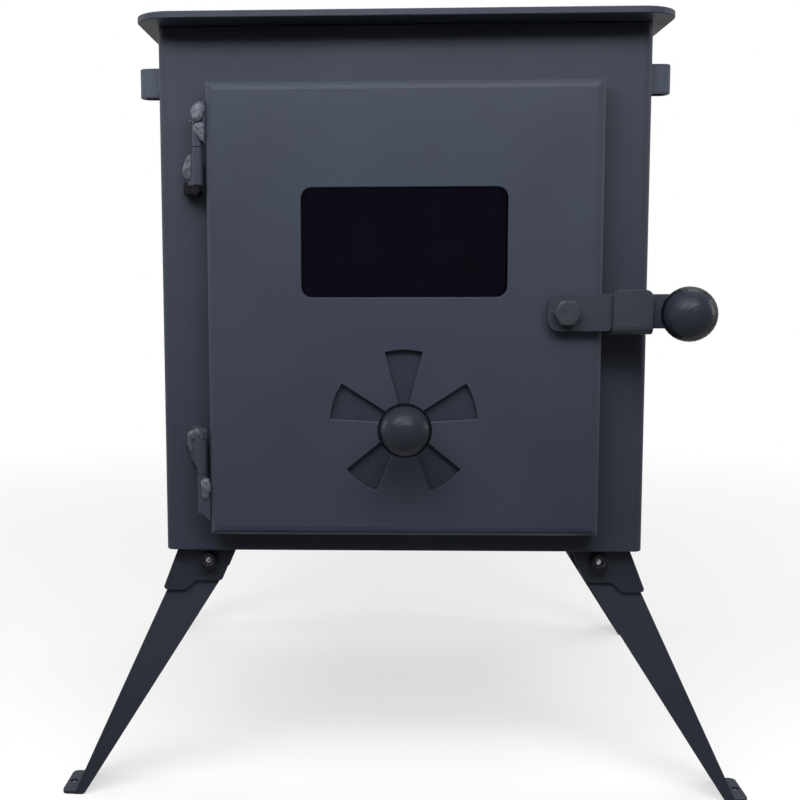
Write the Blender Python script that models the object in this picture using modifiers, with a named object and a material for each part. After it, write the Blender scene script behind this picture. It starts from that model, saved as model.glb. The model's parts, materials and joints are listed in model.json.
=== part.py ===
"""Camping wood stove: a welded sheet steel firebox on four folding legs.

The front door is hinged at the left. It carries a small window, a five bladed air vent
with a turning knob, and a lever latch that drops into a hook on the body.
Lengths are in metres. X runs to the right, Y to the back and Z up. The pieces are drawn
in the stove's own frame: x = 0 at its middle, y = 0 on the body's front face, z = 0 on
the floor. One empty carries them all, so that the stove stands centred on the origin.
"""

import math

import bmesh
import bpy
from mathutils import Matrix, Vector

# Clearances
TOUCH_GAP = 0.0003
TURN_GAP = 0.0003

# Firebox
BODY_WIDTH = 0.282
BODY_DEPTH = 0.380
BODY_HEIGHT = 0.3048
BASE_HEIGHT = 0.1582
BODY_SHEET = 0.003
BODY_BEND_INSIDE = 0.002
EDGE_ROUND = 0.0004

# Hotplate and flue
TOP_THICKNESS = 0.0037
TOP_SIDE_OVERHANG = 0.010
TOP_FRONT_OVERHANG = 0.0235
TOP_REAR_OVERHANG = 0.010
TOP_CORNER = 0.021
FLUE_RADIUS = 0.038
FLUE_WALL = 0.002
FLUE_HEIGHT = 0.045
FLUE_FROM_REAR = 0.085

# Inside of the firebox
BAFFLE_THICKNESS = 0.003
BAFFLE_DROP = 0.048
BAFFLE_FRONT = 0.110
RAIL_SHEET = 0.002
RAIL_WIDTH = 0.012
GRATE_SHEET = 0.0025
GRATE_HEIGHT = 0.018
GRATE_SIDE_CLEARANCE = 0.020
GRATE_FRONT = 0.020
GRATE_REAR_CLEARANCE = 0.020
GRATE_BEND_INSIDE = 0.002
GRATE_BORDER = 0.022
GRATE_SLOT_WIDTH = 0.008
GRATE_SLOT_LENGTH = 0.088
GRATE_SLOT_PITCH = 0.022
GRATE_SLOT_ROW_GAP = 0.014

# Door
DOOR_WIDTH = 0.2235
DOOR_HEIGHT = 0.2587
DOOR_BOTTOM = 0.0131
DOOR_FACE = 0.020
DOOR_RIM_GAP = 0.003
DOOR_SHEET = 0.003
DOOR_BEND_INSIDE = 0.0027
DOOR_LAP = 0.014
OPENING_CORNER = 0.010
SEAL_SHEET = 0.002
SEAL_DEPTH = 0.007
ROPE_RADIUS = 0.0037

# Window
WINDOW_WIDTH = 0.116
WINDOW_HEIGHT = 0.0615
WINDOW_ABOVE_MIDDLE = 0.0389
WINDOW_CORNER = 0.006
GLASS_LAP = 0.010
GLASS_THICKNESS = 0.004
GLASS_CORNER = 0.004
GASKET_THICKNESS = 0.0015
GASKET_INSET = 0.002
RETAINER_SHEET = 0.002
RETAINER_LENGTH = 0.112
RETAINER_LAP = 0.004
RETAINER_FOOT = 0.011
STUD_RADIUS = 0.002
STUD_SPACING = 0.088
NUT_M4_FLATS = 0.007
NUT_M4_HEIGHT = 0.0032

# Air vent
VENT_BELOW_MIDDLE = 0.0636
VENT_RADIUS = 0.042
VENT_INNER_RADIUS = 0.010
VENT_BLADES = 5
VENT_BLADE_ANGLE = math.radians(29.4)
DISC_RADIUS = 0.046
DISC_THICKNESS = 0.0015
KNOB_NECK = 0.0125
KNOB_NECK_RADIUS = 0.006
SPINDLE_RADIUS = 0.003
SPINDLE_TAIL = 0.0015
SPRING_WASHER = 0.0012
SPRING_WASHER_RADIUS = 0.0065
NUT_M6_FLATS = 0.010
NUT_M6_HEIGHT = 0.005

# Latch
LATCH_FROM_EDGE = 0.0217
LATCH_BELOW_MIDDLE = 0.0005
LATCH_SPACER = 0.002
LATCH_SPACER_RADIUS = 0.0085
BAR_WIDTH = 0.0205
BAR_THICKNESS = 0.004
BAR_TAIL = 0.0102
BAR_CORNER = 0.006
BAR_STEP = 0.0015
BAR_TIP = 0.009
BALL_RADIUS = 0.015
BALL_REACH = 0.063
BALL_COLLAR = 0.003
BALL_COLLAR_RADIUS = 0.0075
BALL_STUD_RADIUS = 0.003
BOLT_RADIUS = 0.004
BOLT_FLATS = 0.013
BOLT_HEAD = 0.0053
BOLT_CHAMFER = 0.001
NUT_M8_HEIGHT = 0.005

# Latch keeper
KEEPER_WIDTH = 0.022
KEEPER_SIDE_CLEARANCE = 0.0036
KEEPER_SHEET = 0.003
KEEPER_RISE = 0.0026
KEEPER_CORNER = 0.0045
KEEPER_BEND_INSIDE = 0.0015

# Hinges
HINGE_OUT = 0.0049
HINGE_FORWARD = 0.013
KNUCKLE_RADIUS = 0.003
KNUCKLE_LENGTH = 0.021
PIN_RADIUS = 0.0016
UPPER_HINGE_BELOW_DOOR_TOP = 0.0363
LOWER_HINGE_ABOVE_DOOR_BOTTOM = 0.0353
HINGE_WASHER = 0.0012
LUG_SHEET = 0.003
BODY_LUG_SPREAD = 0.0085
BODY_LUG_TAPER = 0.0075
BODY_LUG_TAIL = 0.0055
BODY_LUG_TOE = 0.0035
LUG_CORNER = 0.004
DOOR_LUG_SHEET = 0.0018
DOOR_LUG_START = 0.0015
DOOR_LUG_SLOPE = 0.0082
DOOR_LUG_TAPER = 0.0043

# Shelf loops on the sides
LOOP_SHEET = 0.003
LOOP_OUT = 0.0128
LOOP_DEPTH = 0.014
LOOP_HEIGHT = 0.0165
LOOP_BELOW_TOP = 0.022
LOOP_FROM_FRONT = 0.010
LOOP_BEND_INSIDE = 0.0025

# Leg brackets
BRACKET_SHEET = 0.002
BRACKET_DEPTH = 0.036
BRACKET_FROM_FRONT = 0.008
BRACKET_TOP_OUTER = 0.1350
BRACKET_TOP_INNER = 0.1003
BRACKET_OUTER_DROP = 0.0266
BRACKET_INNER_DROP = 0.0207
BRACKET_OUTER_LEAN = math.radians(21.1)
BRACKET_INNER_LEAN = math.radians(23.3)
BRACKET_STEP_WIDTH = 0.014
BRACKET_CORNER = 0.0018

# Legs
LEG_SHEET = 0.002
LEG_PIVOT_X = 0.1166
LEG_PIVOT_DROP = 0.0074
LEG_CROWN = 0.0068
LEG_SPLAY = math.radians(24.9)
LEG_INNER_SPLAY = math.radians(32.4)
LEG_BACK_LENGTH = 0.014
LEG_TOE_ROUND = 0.003
LEG_FOLD = math.radians(95)
FOOT_LENGTH = 0.0075
FOOT_CORNER = 0.0035
FOOT_HOLE_RADIUS = 0.0025
SCREW_RADIUS = 0.003
SCREW_HEAD_RADIUS = 0.005
SCREW_HEAD_HEIGHT = 0.006
SCREW_FLANGE_RADIUS = 0.0061
SCREW_FLANGE = 0.0012
SCREW_SOCKET_FLATS = 0.005
SCREW_SOCKET_DEPTH = 0.003
SCREW_TAIL = 0.0015

# Fineness of round shapes
ROUND_SIDES = 32
SMALL_SIDES = 20
CORNER_STEPS = 4

# Places that follow from the sizes
HALF_WIDTH = BODY_WIDTH / 2
INNER_HALF_WIDTH = HALF_WIDTH - BODY_SHEET
BODY_TOP = BASE_HEIGHT + BODY_HEIGHT
DOOR_LOW = BASE_HEIGHT + DOOR_BOTTOM
DOOR_HIGH = DOOR_LOW + DOOR_HEIGHT
DOOR_MIDDLE = (DOOR_LOW + DOOR_HIGH) / 2
PANEL_BACK = -DOOR_FACE + DOOR_SHEET
OPENING_WIDTH = DOOR_WIDTH - 2 * DOOR_LAP
OPENING_HEIGHT = DOOR_HEIGHT - 2 * DOOR_LAP
WINDOW_Z = DOOR_MIDDLE + WINDOW_ABOVE_MIDDLE
VENT_Z = DOOR_MIDDLE - VENT_BELOW_MIDDLE
LATCH_X = DOOR_WIDTH / 2 - LATCH_FROM_EDGE
LATCH_Z = DOOR_MIDDLE - LATCH_BELOW_MIDDLE
BAR_BACK = -DOOR_FACE - LATCH_SPACER - 2 * TOUCH_GAP
BAR_FRONT = BAR_BACK - BAR_THICKNESS
BALL_Y = BAR_FRONT - TOUCH_GAP - BALL_COLLAR - BALL_RADIUS
HINGE_X = -DOOR_WIDTH / 2 - HINGE_OUT
HINGE_Y = -HINGE_FORWARD
BORE_RADIUS = PIN_RADIUS + TURN_GAP
LEG_PIVOT_Z = BASE_HEIGHT - LEG_PIVOT_DROP
LEG_DEPTH = BRACKET_DEPTH - 2 * BRACKET_SHEET - 2 * TOUCH_GAP
SCREW_HOLE_RADIUS = SCREW_RADIUS + TURN_GAP
KNOB_Y = -DOOR_FACE - TOUCH_GAP - KNOB_NECK - BALL_RADIUS
STOVE_FRONT = min(BALL_Y, KNOB_Y) - BALL_RADIUS
STOVE_BACK = BODY_DEPTH + TOP_REAR_OVERHANG

# Painted steel, bare steel, glass, rope and plastic: colour, metallic value, roughness
FINISHES = {
    "body_paint": ((0.052, 0.056, 0.070), 0.1, 0.55),
    "door_paint": ((0.058, 0.062, 0.078), 0.1, 0.52),
    "leg_paint": ((0.045, 0.048, 0.060), 0.1, 0.58),
    "fastener_steel": ((0.060, 0.063, 0.074), 0.5, 0.42),
    "inner_steel": ((0.055, 0.053, 0.052), 0.5, 0.75),
    "knob_plastic": ((0.012, 0.012, 0.014), 0.0, 0.22),
    "window_glass": ((0.008, 0.008, 0.010), 0.0, 0.05),
    "seal_rope": ((0.30, 0.29, 0.27), 0.0, 0.95),
}

TURN_TO_AXIS = {
    "X": Matrix(((0, 0, 1, 0), (1, 0, 0, 0), (0, 1, 0, 0), (0, 0, 0, 1))),
    "Y": Matrix(((1, 0, 0, 0), (0, 0, -1, 0), (0, 1, 0, 0), (0, 0, 0, 1))),
    "Z": Matrix.Identity(4),
}
ALONG = {"X": Vector((1, 0, 0)), "Y": Vector((0, 1, 0)), "Z": Vector((0, 0, 1))}
SCENE = {}


# Setting up the scene


def clear_scene():
    for thing in list(bpy.data.objects):
        bpy.data.objects.remove(thing)


def new_collection(name):
    made = bpy.data.collections.new(name)
    bpy.context.scene.collection.children.link(made)
    return made


def new_material(name):
    colour, metallic, roughness = FINISHES[name]
    made = bpy.data.materials.new(name)
    made.use_nodes = True
    shader = made.node_tree.nodes["Principled BSDF"]
    shader.inputs["Base Color"].default_value = (*colour, 1.0)
    shader.inputs["Metallic"].default_value = metallic
    shader.inputs["Roughness"].default_value = roughness
    made.diffuse_color = (*colour, 1.0)
    return made


def new_empty(name, place, parent=None):
    made = bpy.data.objects.new(name, None)
    made.location = place
    made.empty_display_size = 0.02
    made.parent = parent
    SCENE["parts"].objects.link(made)
    return made


def link_piece(piece, finish=None, joint=None):
    """Puts a piece among the parts, or among the cutters where it has no finish of its own."""
    if finish:
        SCENE["parts"].objects.link(piece)
        piece.data.materials.append(new_material(finish))
        piece.data.materials[0].name = piece.name + "_" + finish
        piece.data.shade_smooth()
        piece.data.set_sharp_from_angle(angle=math.radians(35))
    else:
        SCENE["cutters"].objects.link(piece)
        piece.hide_render = True
        piece.display_type = "WIRE"
    if joint:
        piece.parent = joint
        piece.matrix_parent_inverse = Matrix.Translation(-joint.location)
    else:
        piece.parent = SCENE["stove"]
    return piece


# Outlines


def rounded(corners, steps=CORNER_STEPS):
    """Outline through corners (u, v, radius), each radius drawn as an arc."""
    points = []
    count = len(corners)
    for i, (u, v, radius) in enumerate(corners):
        here = Vector((u, v))
        before = Vector(corners[i - 1][:2]) - here
        after = Vector(corners[(i + 1) % count][:2]) - here
        if radius <= 0:
            points.append((u, v))
            continue
        half = before.angle(after) / 2
        reach = min(radius / math.tan(half), 0.49 * before.length, 0.49 * after.length)
        size = reach * math.tan(half)
        start = before.normalized() * reach
        centre = (before.normalized() + after.normalized()).normalized() * (size / math.sin(half))
        first = start - centre
        turn = math.pi - 2 * half
        if before.cross(after) > 0:
            turn = -turn
        for k in range(steps + 1):
            spoke = first.copy()
            spoke.rotate(Matrix.Rotation(turn * k / steps, 2))
            points.append(tuple(here + centre + spoke))
    return points


def rectangle(low_u, low_v, high_u, high_v, radius=0.0, steps=CORNER_STEPS):
    corners = [(low_u, low_v), (high_u, low_v), (high_u, high_v), (low_u, high_v)]
    return rounded([(u, v, radius) for u, v in corners], steps)


def circle(centre_u, centre_v, radius, sides=ROUND_SIDES):
    angles = [2 * math.pi * k / sides for k in range(sides)]
    return [(centre_u + radius * math.cos(a), centre_v + radius * math.sin(a)) for a in angles]


def hexagon(centre_u, centre_v, across_flats):
    return circle(centre_u, centre_v, across_flats / math.sqrt(3), 6)


def vent_blade(angle):
    """One wedge shaped opening of the vent, between its inner and its outer circle."""
    half = VENT_BLADE_ANGLE / 2
    points = []
    for radius, way in ((VENT_RADIUS, 1), (VENT_INNER_RADIUS, -1)):
        for k in range(CORNER_STEPS + 1):
            a = angle + way * half * (1 - 2 * k / CORNER_STEPS)
            points.append((radius * math.cos(a), VENT_Z + radius * math.sin(a)))
    return points


# Solids


def weld(mesh):
    """Joins the loose caps of a shape to its sides and turns every face outwards."""
    shape = bmesh.new()
    shape.from_mesh(mesh)
    bmesh.ops.remove_doubles(shape, verts=shape.verts, dist=0.00001)
    bmesh.ops.dissolve_limit(
        shape, angle_limit=math.radians(0.5), verts=shape.verts, edges=shape.edges
    )
    bmesh.ops.recalc_face_normals(shape, faces=shape.faces)
    shape.to_mesh(mesh)
    shape.free()


def mesh_of_curve(drawn):
    """The welded mesh of a curve object, which is then removed."""
    bpy.context.scene.collection.objects.link(drawn)
    bpy.context.view_layer.update()
    graph = bpy.context.evaluated_depsgraph_get()
    mesh = bpy.data.meshes.new_from_object(drawn.evaluated_get(graph))
    mesh.name = drawn.name
    weld(mesh)
    bpy.data.objects.remove(drawn)
    return mesh


def flat_solid(name, outlines, axis, low, high, finish=None, joint=None):
    """A plate: a flat outline, with any holes, drawn across an axis and thickened along it."""
    curve = bpy.data.curves.new(name, "CURVE")
    curve.dimensions = "2D"
    curve.fill_mode = "BOTH"
    curve.extrude = (high - low) / 2
    for outline in outlines:
        spline = curve.splines.new("POLY")
        spline.points.add(len(outline) - 1)
        for point, (u, v) in zip(spline.points, outline):
            point.co = (u, v, 0, 1)
        spline.use_cyclic_u = True
    mesh = mesh_of_curve(bpy.data.objects.new(name + "_outline", curve))
    piece = bpy.data.objects.new(name, mesh)
    piece.matrix_basis = Matrix.Translation(ALONG[axis] * (low + high) / 2) @ TURN_TO_AXIS[axis]
    return link_piece(piece, finish, joint)


def turned_solid(name, profile, axis, place, finish=None, joint=None, sides=ROUND_SIDES, hollow=False):
    """A turned piece: profile points (radius, height) from the top down the outer side."""
    mesh = bpy.data.meshes.new(name)
    shape = bmesh.new()
    points = [shape.verts.new((radius, 0, height)) for radius, height in profile]
    for first, second in zip(points, points[1:]):
        shape.edges.new((first, second))
    if hollow:
        shape.edges.new((points[-1], points[0]))
    shape.to_mesh(mesh)
    shape.free()
    piece = bpy.data.objects.new(name, mesh)
    piece.matrix_basis = Matrix.Translation(place) @ TURN_TO_AXIS[axis]
    link_piece(piece, finish, joint)
    screw = piece.modifiers.new("turn", "SCREW")
    screw.axis = "Z"
    screw.steps = sides
    screw.render_steps = sides
    screw.use_merge_vertices = True
    screw.merge_threshold = 0.00001
    screw.use_smooth_shade = True
    return piece


def rod(name, axis, centre, radius, low, high, finish=None, joint=None, sides=SMALL_SIDES):
    """A round bar along an axis, through centre, from low to high."""
    along = ALONG[axis]
    place = centre - along * centre.dot(along) + along * (low + high) / 2
    mesh = bpy.data.meshes.new(name)
    shape = bmesh.new()
    bmesh.ops.create_cone(
        shape, cap_ends=True, segments=sides, radius1=radius, radius2=radius, depth=high - low
    )
    shape.to_mesh(mesh)
    shape.free()
    piece = bpy.data.objects.new(name, mesh)
    piece.matrix_basis = Matrix.Translation(place) @ TURN_TO_AXIS[axis]
    return link_piece(piece, finish, joint)


def folded_sheet(name, low, high, open_sides, bend_inside, sheet, finish, joint=None, sharp=None):
    """A box of sheet metal with rounded bends, without the sides named in open_sides.

    The edges along the direction sharp are welded corners, so they stay square.
    """
    size = high - low
    mesh = bpy.data.meshes.new(name)
    shape = bmesh.new()
    bmesh.ops.create_cube(shape, size=1.0)
    gone = [face for face in shape.faces if any(face.normal.dot(side) > 0.9 for side in open_sides)]
    bmesh.ops.delete(shape, geom=gone, context="FACES")
    bmesh.ops.scale(shape, vec=size, verts=shape.verts)
    bent = shape.edges.layers.float.new("bevel_weight_edge")
    for edge in shape.edges:
        along = (edge.verts[1].co - edge.verts[0].co).normalized()
        square = sharp is not None and abs(along.dot(sharp)) > 0.9
        edge[bent] = 0.0 if square or edge.is_boundary else 1.0
    shape.to_mesh(mesh)
    shape.free()
    piece = bpy.data.objects.new(name, mesh)
    piece.location = (low + high) / 2
    link_piece(piece, finish, joint)
    bend = piece.modifiers.new("bends", "BEVEL")
    bend.width = bend_inside + sheet
    bend.segments = CORNER_STEPS
    bend.limit_method = "WEIGHT"
    wall = piece.modifiers.new("sheet", "SOLIDIFY")
    wall.thickness = sheet
    wall.offset = -1
    wall.use_even_offset = True
    return piece


def combine(piece, other, operation):
    step = piece.modifiers.new(operation.lower() + " " + other.name, "BOOLEAN")
    step.operation = operation
    step.solver = "EXACT"
    step.object = other
    return piece


def cut(piece, *cutters):
    for cutter in cutters:
        combine(piece, cutter, "DIFFERENCE")
    return piece


def fuse(piece, *others):
    for other in others:
        combine(piece, other, "UNION")
    return piece


def soften(piece, width=EDGE_ROUND):
    """Breaks the sharp edges of a finished plate."""
    edge = piece.modifiers.new("edges", "BEVEL")
    edge.width = width
    edge.segments = 1
    edge.limit_method = "ANGLE"
    edge.angle_limit = math.radians(50)
    return piece


# Firebox


def body_wrap():
    """Front and two sides, bent from one sheet, with the door opening cut in the front."""
    low = Vector((-HALF_WIDTH, 0, BASE_HEIGHT))
    high = Vector((HALF_WIDTH, BODY_DEPTH, BODY_TOP - TOUCH_GAP))
    open_sides = (ALONG["Y"], ALONG["Z"], -ALONG["Z"])
    wrap = folded_sheet(
        "body_wrap", low, high, open_sides, BODY_BEND_INSIDE, BODY_SHEET, "body_paint"
    )
    opening = rectangle(
        -OPENING_WIDTH / 2,
        DOOR_MIDDLE - OPENING_HEIGHT / 2,
        OPENING_WIDTH / 2,
        DOOR_MIDDLE + OPENING_HEIGHT / 2,
        OPENING_CORNER,
    )
    cutter = flat_solid("door_opening_cutter", [opening], "Y", -BODY_SHEET, 2 * BODY_SHEET)
    return soften(cut(wrap, cutter))


def rear_panel():
    half = INNER_HALF_WIDTH - TOUCH_GAP
    outline = rectangle(-half, BASE_HEIGHT, half, BODY_TOP - TOUCH_GAP)
    return flat_solid(
        "rear_panel", [outline], "Y", BODY_DEPTH - BODY_SHEET, BODY_DEPTH, "body_paint"
    )


def base_plate():
    half = INNER_HALF_WIDTH - TOUCH_GAP
    back = BODY_DEPTH - BODY_SHEET - TOUCH_GAP
    outline = rectangle(
        -half, BODY_SHEET + TOUCH_GAP, half, back, BODY_BEND_INSIDE
    )
    return flat_solid(
        "base_plate", [outline], "Z", BASE_HEIGHT, BASE_HEIGHT + BODY_SHEET, "inner_steel"
    )


def top_plate():
    half = HALF_WIDTH + TOP_SIDE_OVERHANG
    outline = rectangle(-half, -TOP_FRONT_OVERHANG, half, STOVE_BACK, TOP_CORNER, 2 * CORNER_STEPS)
    hole = circle(0, BODY_DEPTH - FLUE_FROM_REAR, FLUE_RADIUS + FLUE_WALL + TOUCH_GAP)
    plate = flat_solid(
        "top_plate", [outline, hole], "Z", BODY_TOP, BODY_TOP + TOP_THICKNESS, "body_paint"
    )
    return soften(plate)


def flue_collar():
    """Short pipe that stands in the hole of the top plate and takes the flue."""
    outer = FLUE_RADIUS + FLUE_WALL
    profile = [
        (FLUE_RADIUS, TOP_THICKNESS + FLUE_HEIGHT),
        (outer, TOP_THICKNESS + FLUE_HEIGHT),
        (outer, 0),
        (FLUE_RADIUS, 0),
    ]
    place = Vector((0, BODY_DEPTH - FLUE_FROM_REAR, BODY_TOP))
    return turned_solid("flue_collar", profile, "Z", place, "body_paint", hollow=True)


def baffle_plate():
    """Plate below the flue that sends the smoke round its front edge."""
    half = INNER_HALF_WIDTH - TOUCH_GAP
    top = BODY_TOP - BAFFLE_DROP
    back = BODY_DEPTH - BODY_SHEET - TOUCH_GAP
    outline = rectangle(-half, BAFFLE_FRONT, half, back, 2 * BODY_SHEET)
    return flat_solid("baffle_plate", [outline], "Z", top - BAFFLE_THICKNESS, top, "inner_steel")


def baffle_rail(side, name):
    """Angle strip on a side wall that the baffle lies on."""
    wall = INNER_HALF_WIDTH - TOUCH_GAP
    top = BODY_TOP - BAFFLE_DROP - BAFFLE_THICKNESS - TOUCH_GAP
    corners = [
        (wall, top),
        (wall, top - RAIL_WIDTH),
        (wall - RAIL_SHEET, top - RAIL_WIDTH),
        (wall - RAIL_SHEET, top - RAIL_SHEET),
        (wall - RAIL_WIDTH, top - RAIL_SHEET),
        (wall - RAIL_WIDTH, top),
    ]
    outline = [(side * x, z) for x, z in corners]
    back = BODY_DEPTH - BODY_SHEET - TOUCH_GAP
    return flat_solid(name, [outline], "Y", BAFFLE_FRONT, back, "inner_steel")


def fire_grate():
    """Slotted plate with its two sides folded down as feet."""
    half = INNER_HALF_WIDTH - GRATE_SIDE_CLEARANCE
    floor = BASE_HEIGHT + BODY_SHEET + TOUCH_GAP
    low = Vector((-half, GRATE_FRONT, floor))
    high = Vector((half, BODY_DEPTH - BODY_SHEET - GRATE_REAR_CLEARANCE, floor + GRATE_HEIGHT))
    open_sides = (-ALONG["Z"], ALONG["Y"], -ALONG["Y"])
    grate = folded_sheet(
        "fire_grate", low, high, open_sides, GRATE_BEND_INSIDE, GRATE_SHEET, "inner_steel"
    )
    slots = []
    rows = int((high.y - low.y - 2 * GRATE_BORDER) // (GRATE_SLOT_LENGTH + GRATE_SLOT_ROW_GAP))
    columns = int((2 * half - 2 * GRATE_BORDER) // GRATE_SLOT_PITCH) + 1
    row_pitch = GRATE_SLOT_LENGTH + GRATE_SLOT_ROW_GAP
    for row in range(rows):
        middle = (low.y + high.y) / 2 + (row - (rows - 1) / 2) * row_pitch
        for column in range(columns):
            x = (column - (columns - 1) / 2) * GRATE_SLOT_PITCH
            slots.append(
                rectangle(
                    x - GRATE_SLOT_WIDTH / 2,
                    middle - GRATE_SLOT_LENGTH / 2,
                    x + GRATE_SLOT_WIDTH / 2,
                    middle + GRATE_SLOT_LENGTH / 2,
                    0.49 * GRATE_SLOT_WIDTH,
                    3,
                )
            )
    cutter = flat_solid(
        "grate_slot_cutter", slots, "Z", high.z - 2 * GRATE_SHEET, high.z + GRATE_SHEET
    )
    return cut(grate, cutter)


def shelf_loop(side, front, name):
    """Strip bent to a U and welded to a side wall, open from above for a shelf's hook."""
    wall = HALF_WIDTH + TOUCH_GAP
    outer = HALF_WIDTH + LOOP_OUT
    near = LOOP_FROM_FRONT
    far = LOOP_FROM_FRONT + LOOP_DEPTH
    outer_bend = LOOP_BEND_INSIDE + LOOP_SHEET
    corners = [
        (wall, near, 0),
        (outer, near, outer_bend),
        (outer, far, outer_bend),
        (wall, far, 0),
        (wall, far - LOOP_SHEET, 0),
        (outer - LOOP_SHEET, far - LOOP_SHEET, LOOP_BEND_INSIDE),
        (outer - LOOP_SHEET, near + LOOP_SHEET, LOOP_BEND_INSIDE),
        (wall, near + LOOP_SHEET, 0),
    ]
    outline = rounded([(side * x, from_end(y, front), r) for x, y, r in corners])
    top = BODY_TOP - LOOP_BELOW_TOP
    loop = flat_solid(name, [outline], "Z", top - LOOP_HEIGHT, top, "body_paint")
    return soften(loop)


def from_end(y, front):
    """The same distance from the front face, or from the back of the body."""
    return y if front else BODY_DEPTH - y


# Door


def door_panel(joint):
    """Shallow tray of sheet steel with the window, vent and latch holes and four weld studs."""
    low = Vector((-DOOR_WIDTH / 2, -DOOR_FACE, DOOR_LOW))
    high = Vector((DOOR_WIDTH / 2, -DOOR_RIM_GAP, DOOR_HIGH))
    panel = folded_sheet(
        "door_panel",
        low,
        high,
        (ALONG["Y"],),
        DOOR_BEND_INSIDE,
        DOOR_SHEET,
        "door_paint",
        joint,
        sharp=ALONG["Y"],
    )
    window = rectangle(
        -WINDOW_WIDTH / 2,
        WINDOW_Z - WINDOW_HEIGHT / 2,
        WINDOW_WIDTH / 2,
        WINDOW_Z + WINDOW_HEIGHT / 2,
        WINDOW_CORNER,
    )
    spindle_hole = circle(0, VENT_Z, SPINDLE_RADIUS + TURN_GAP, SMALL_SIDES)
    bolt_hole = circle(LATCH_X, LATCH_Z, BOLT_RADIUS + TOUCH_GAP, SMALL_SIDES)
    blades = [vent_blade(blade_angle(k)) for k in range(VENT_BLADES)]
    outlines = [window, spindle_hole, bolt_hole] + blades
    cutter = flat_solid(
        "door_cutter", outlines, "Y", -DOOR_FACE - DOOR_SHEET, PANEL_BACK + DOOR_SHEET, joint=joint
    )
    cut(panel, cutter)
    for x, z in stud_places():
        stud = rod(
            "stud_guide",
            "Y",
            Vector((x, 0, z)),
            STUD_RADIUS,
            PANEL_BACK - DOOR_SHEET / 2,
            retainer_foot_back() + NUT_M4_HEIGHT + 2 * TOUCH_GAP,
            joint=joint,
            sides=12,
        )
        fuse(panel, stud)
    return soften(panel)


def blade_angle(k):
    return math.radians(90) + 2 * math.pi * k / VENT_BLADES


def seal_outline(inset, corner):
    """Rectangle with round corners, this far inside the door's outer edge."""
    half = DOOR_WIDTH / 2 - inset
    return rectangle(-half, DOOR_LOW + inset, half, DOOR_HIGH - inset, corner)


def seal_frame(joint):
    """Angle frame welded inside the door's rim. With the rim it makes the groove for the rope."""
    outer = DOOR_SHEET + TOUCH_GAP
    lip_outer = DOOR_LAP
    lip_inner = DOOR_LAP + SEAL_SHEET
    front = -DOOR_RIM_GAP - TOUCH_GAP - SEAL_DEPTH
    base = flat_solid(
        "seal_frame",
        [seal_outline(outer, SEAL_SHEET), seal_outline(lip_inner, OPENING_CORNER)],
        "Y",
        front,
        front + SEAL_SHEET,
        "inner_steel",
        joint,
    )
    lip = flat_solid(
        "seal_lip_guide",
        [seal_outline(lip_outer, OPENING_CORNER + SEAL_SHEET), seal_outline(lip_inner, OPENING_CORNER)],
        "Y",
        front + SEAL_SHEET / 2,
        front + SEAL_DEPTH,
        joint=joint,
    )
    return fuse(base, lip)


def door_rope(joint):
    """Glass fibre rope in the door's groove, pressed against the body round the opening."""
    inset = (DOOR_SHEET + DOOR_LAP) / 2
    curve = bpy.data.curves.new("door_rope", "CURVE")
    curve.dimensions = "3D"
    curve.bevel_depth = ROPE_RADIUS
    curve.bevel_resolution = 2
    spline = curve.splines.new("POLY")
    route = seal_outline(inset, OPENING_CORNER + SEAL_SHEET)
    spline.points.add(len(route) - 1)
    for point, (x, z) in zip(spline.points, route):
        point.co = (x, -ROPE_RADIUS - TOUCH_GAP, z, 1)
    spline.use_cyclic_u = True
    mesh = mesh_of_curve(bpy.data.objects.new("door_rope_route", curve))
    return link_piece(bpy.data.objects.new("door_rope", mesh), "seal_rope", joint)


def window_gasket(joint):
    half_w = WINDOW_WIDTH / 2 + GLASS_LAP
    half_h = WINDOW_HEIGHT / 2 + GLASS_LAP
    in_w = WINDOW_WIDTH / 2 + GASKET_INSET
    in_h = WINDOW_HEIGHT / 2 + GASKET_INSET
    outer = rectangle(-half_w, WINDOW_Z - half_h, half_w, WINDOW_Z + half_h, GLASS_CORNER)
    inner = rectangle(-in_w, WINDOW_Z - in_h, in_w, WINDOW_Z + in_h, WINDOW_CORNER)
    front = PANEL_BACK + TOUCH_GAP
    return flat_solid(
        "window_gasket", [outer, inner], "Y", front, front + GASKET_THICKNESS, "seal_rope", joint
    )


def glass_front():
    return PANEL_BACK + GASKET_THICKNESS + 2 * TOUCH_GAP


def window_glass(joint):
    half_w = WINDOW_WIDTH / 2 + GLASS_LAP
    half_h = WINDOW_HEIGHT / 2 + GLASS_LAP
    outline = rectangle(-half_w, WINDOW_Z - half_h, half_w, WINDOW_Z + half_h, GLASS_CORNER)
    glass = flat_solid(
        "window_glass",
        [outline],
        "Y",
        glass_front(),
        glass_front() + GLASS_THICKNESS,
        "window_glass",
        joint,
    )
    return glass


def retainer_foot_back():
    """Back face of a retainer's foot, where its nuts sit."""
    return PANEL_BACK + TOUCH_GAP + RETAINER_SHEET


def stud_height(side):
    glass_edge = WINDOW_HEIGHT / 2 + GLASS_LAP
    return WINDOW_Z + side * (glass_edge + TOUCH_GAP + RETAINER_SHEET + RETAINER_FOOT / 2)


def stud_places():
    return [(x * STUD_SPACING / 2, stud_height(side)) for side in (1, -1) for x in (-1, 1)]


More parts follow.
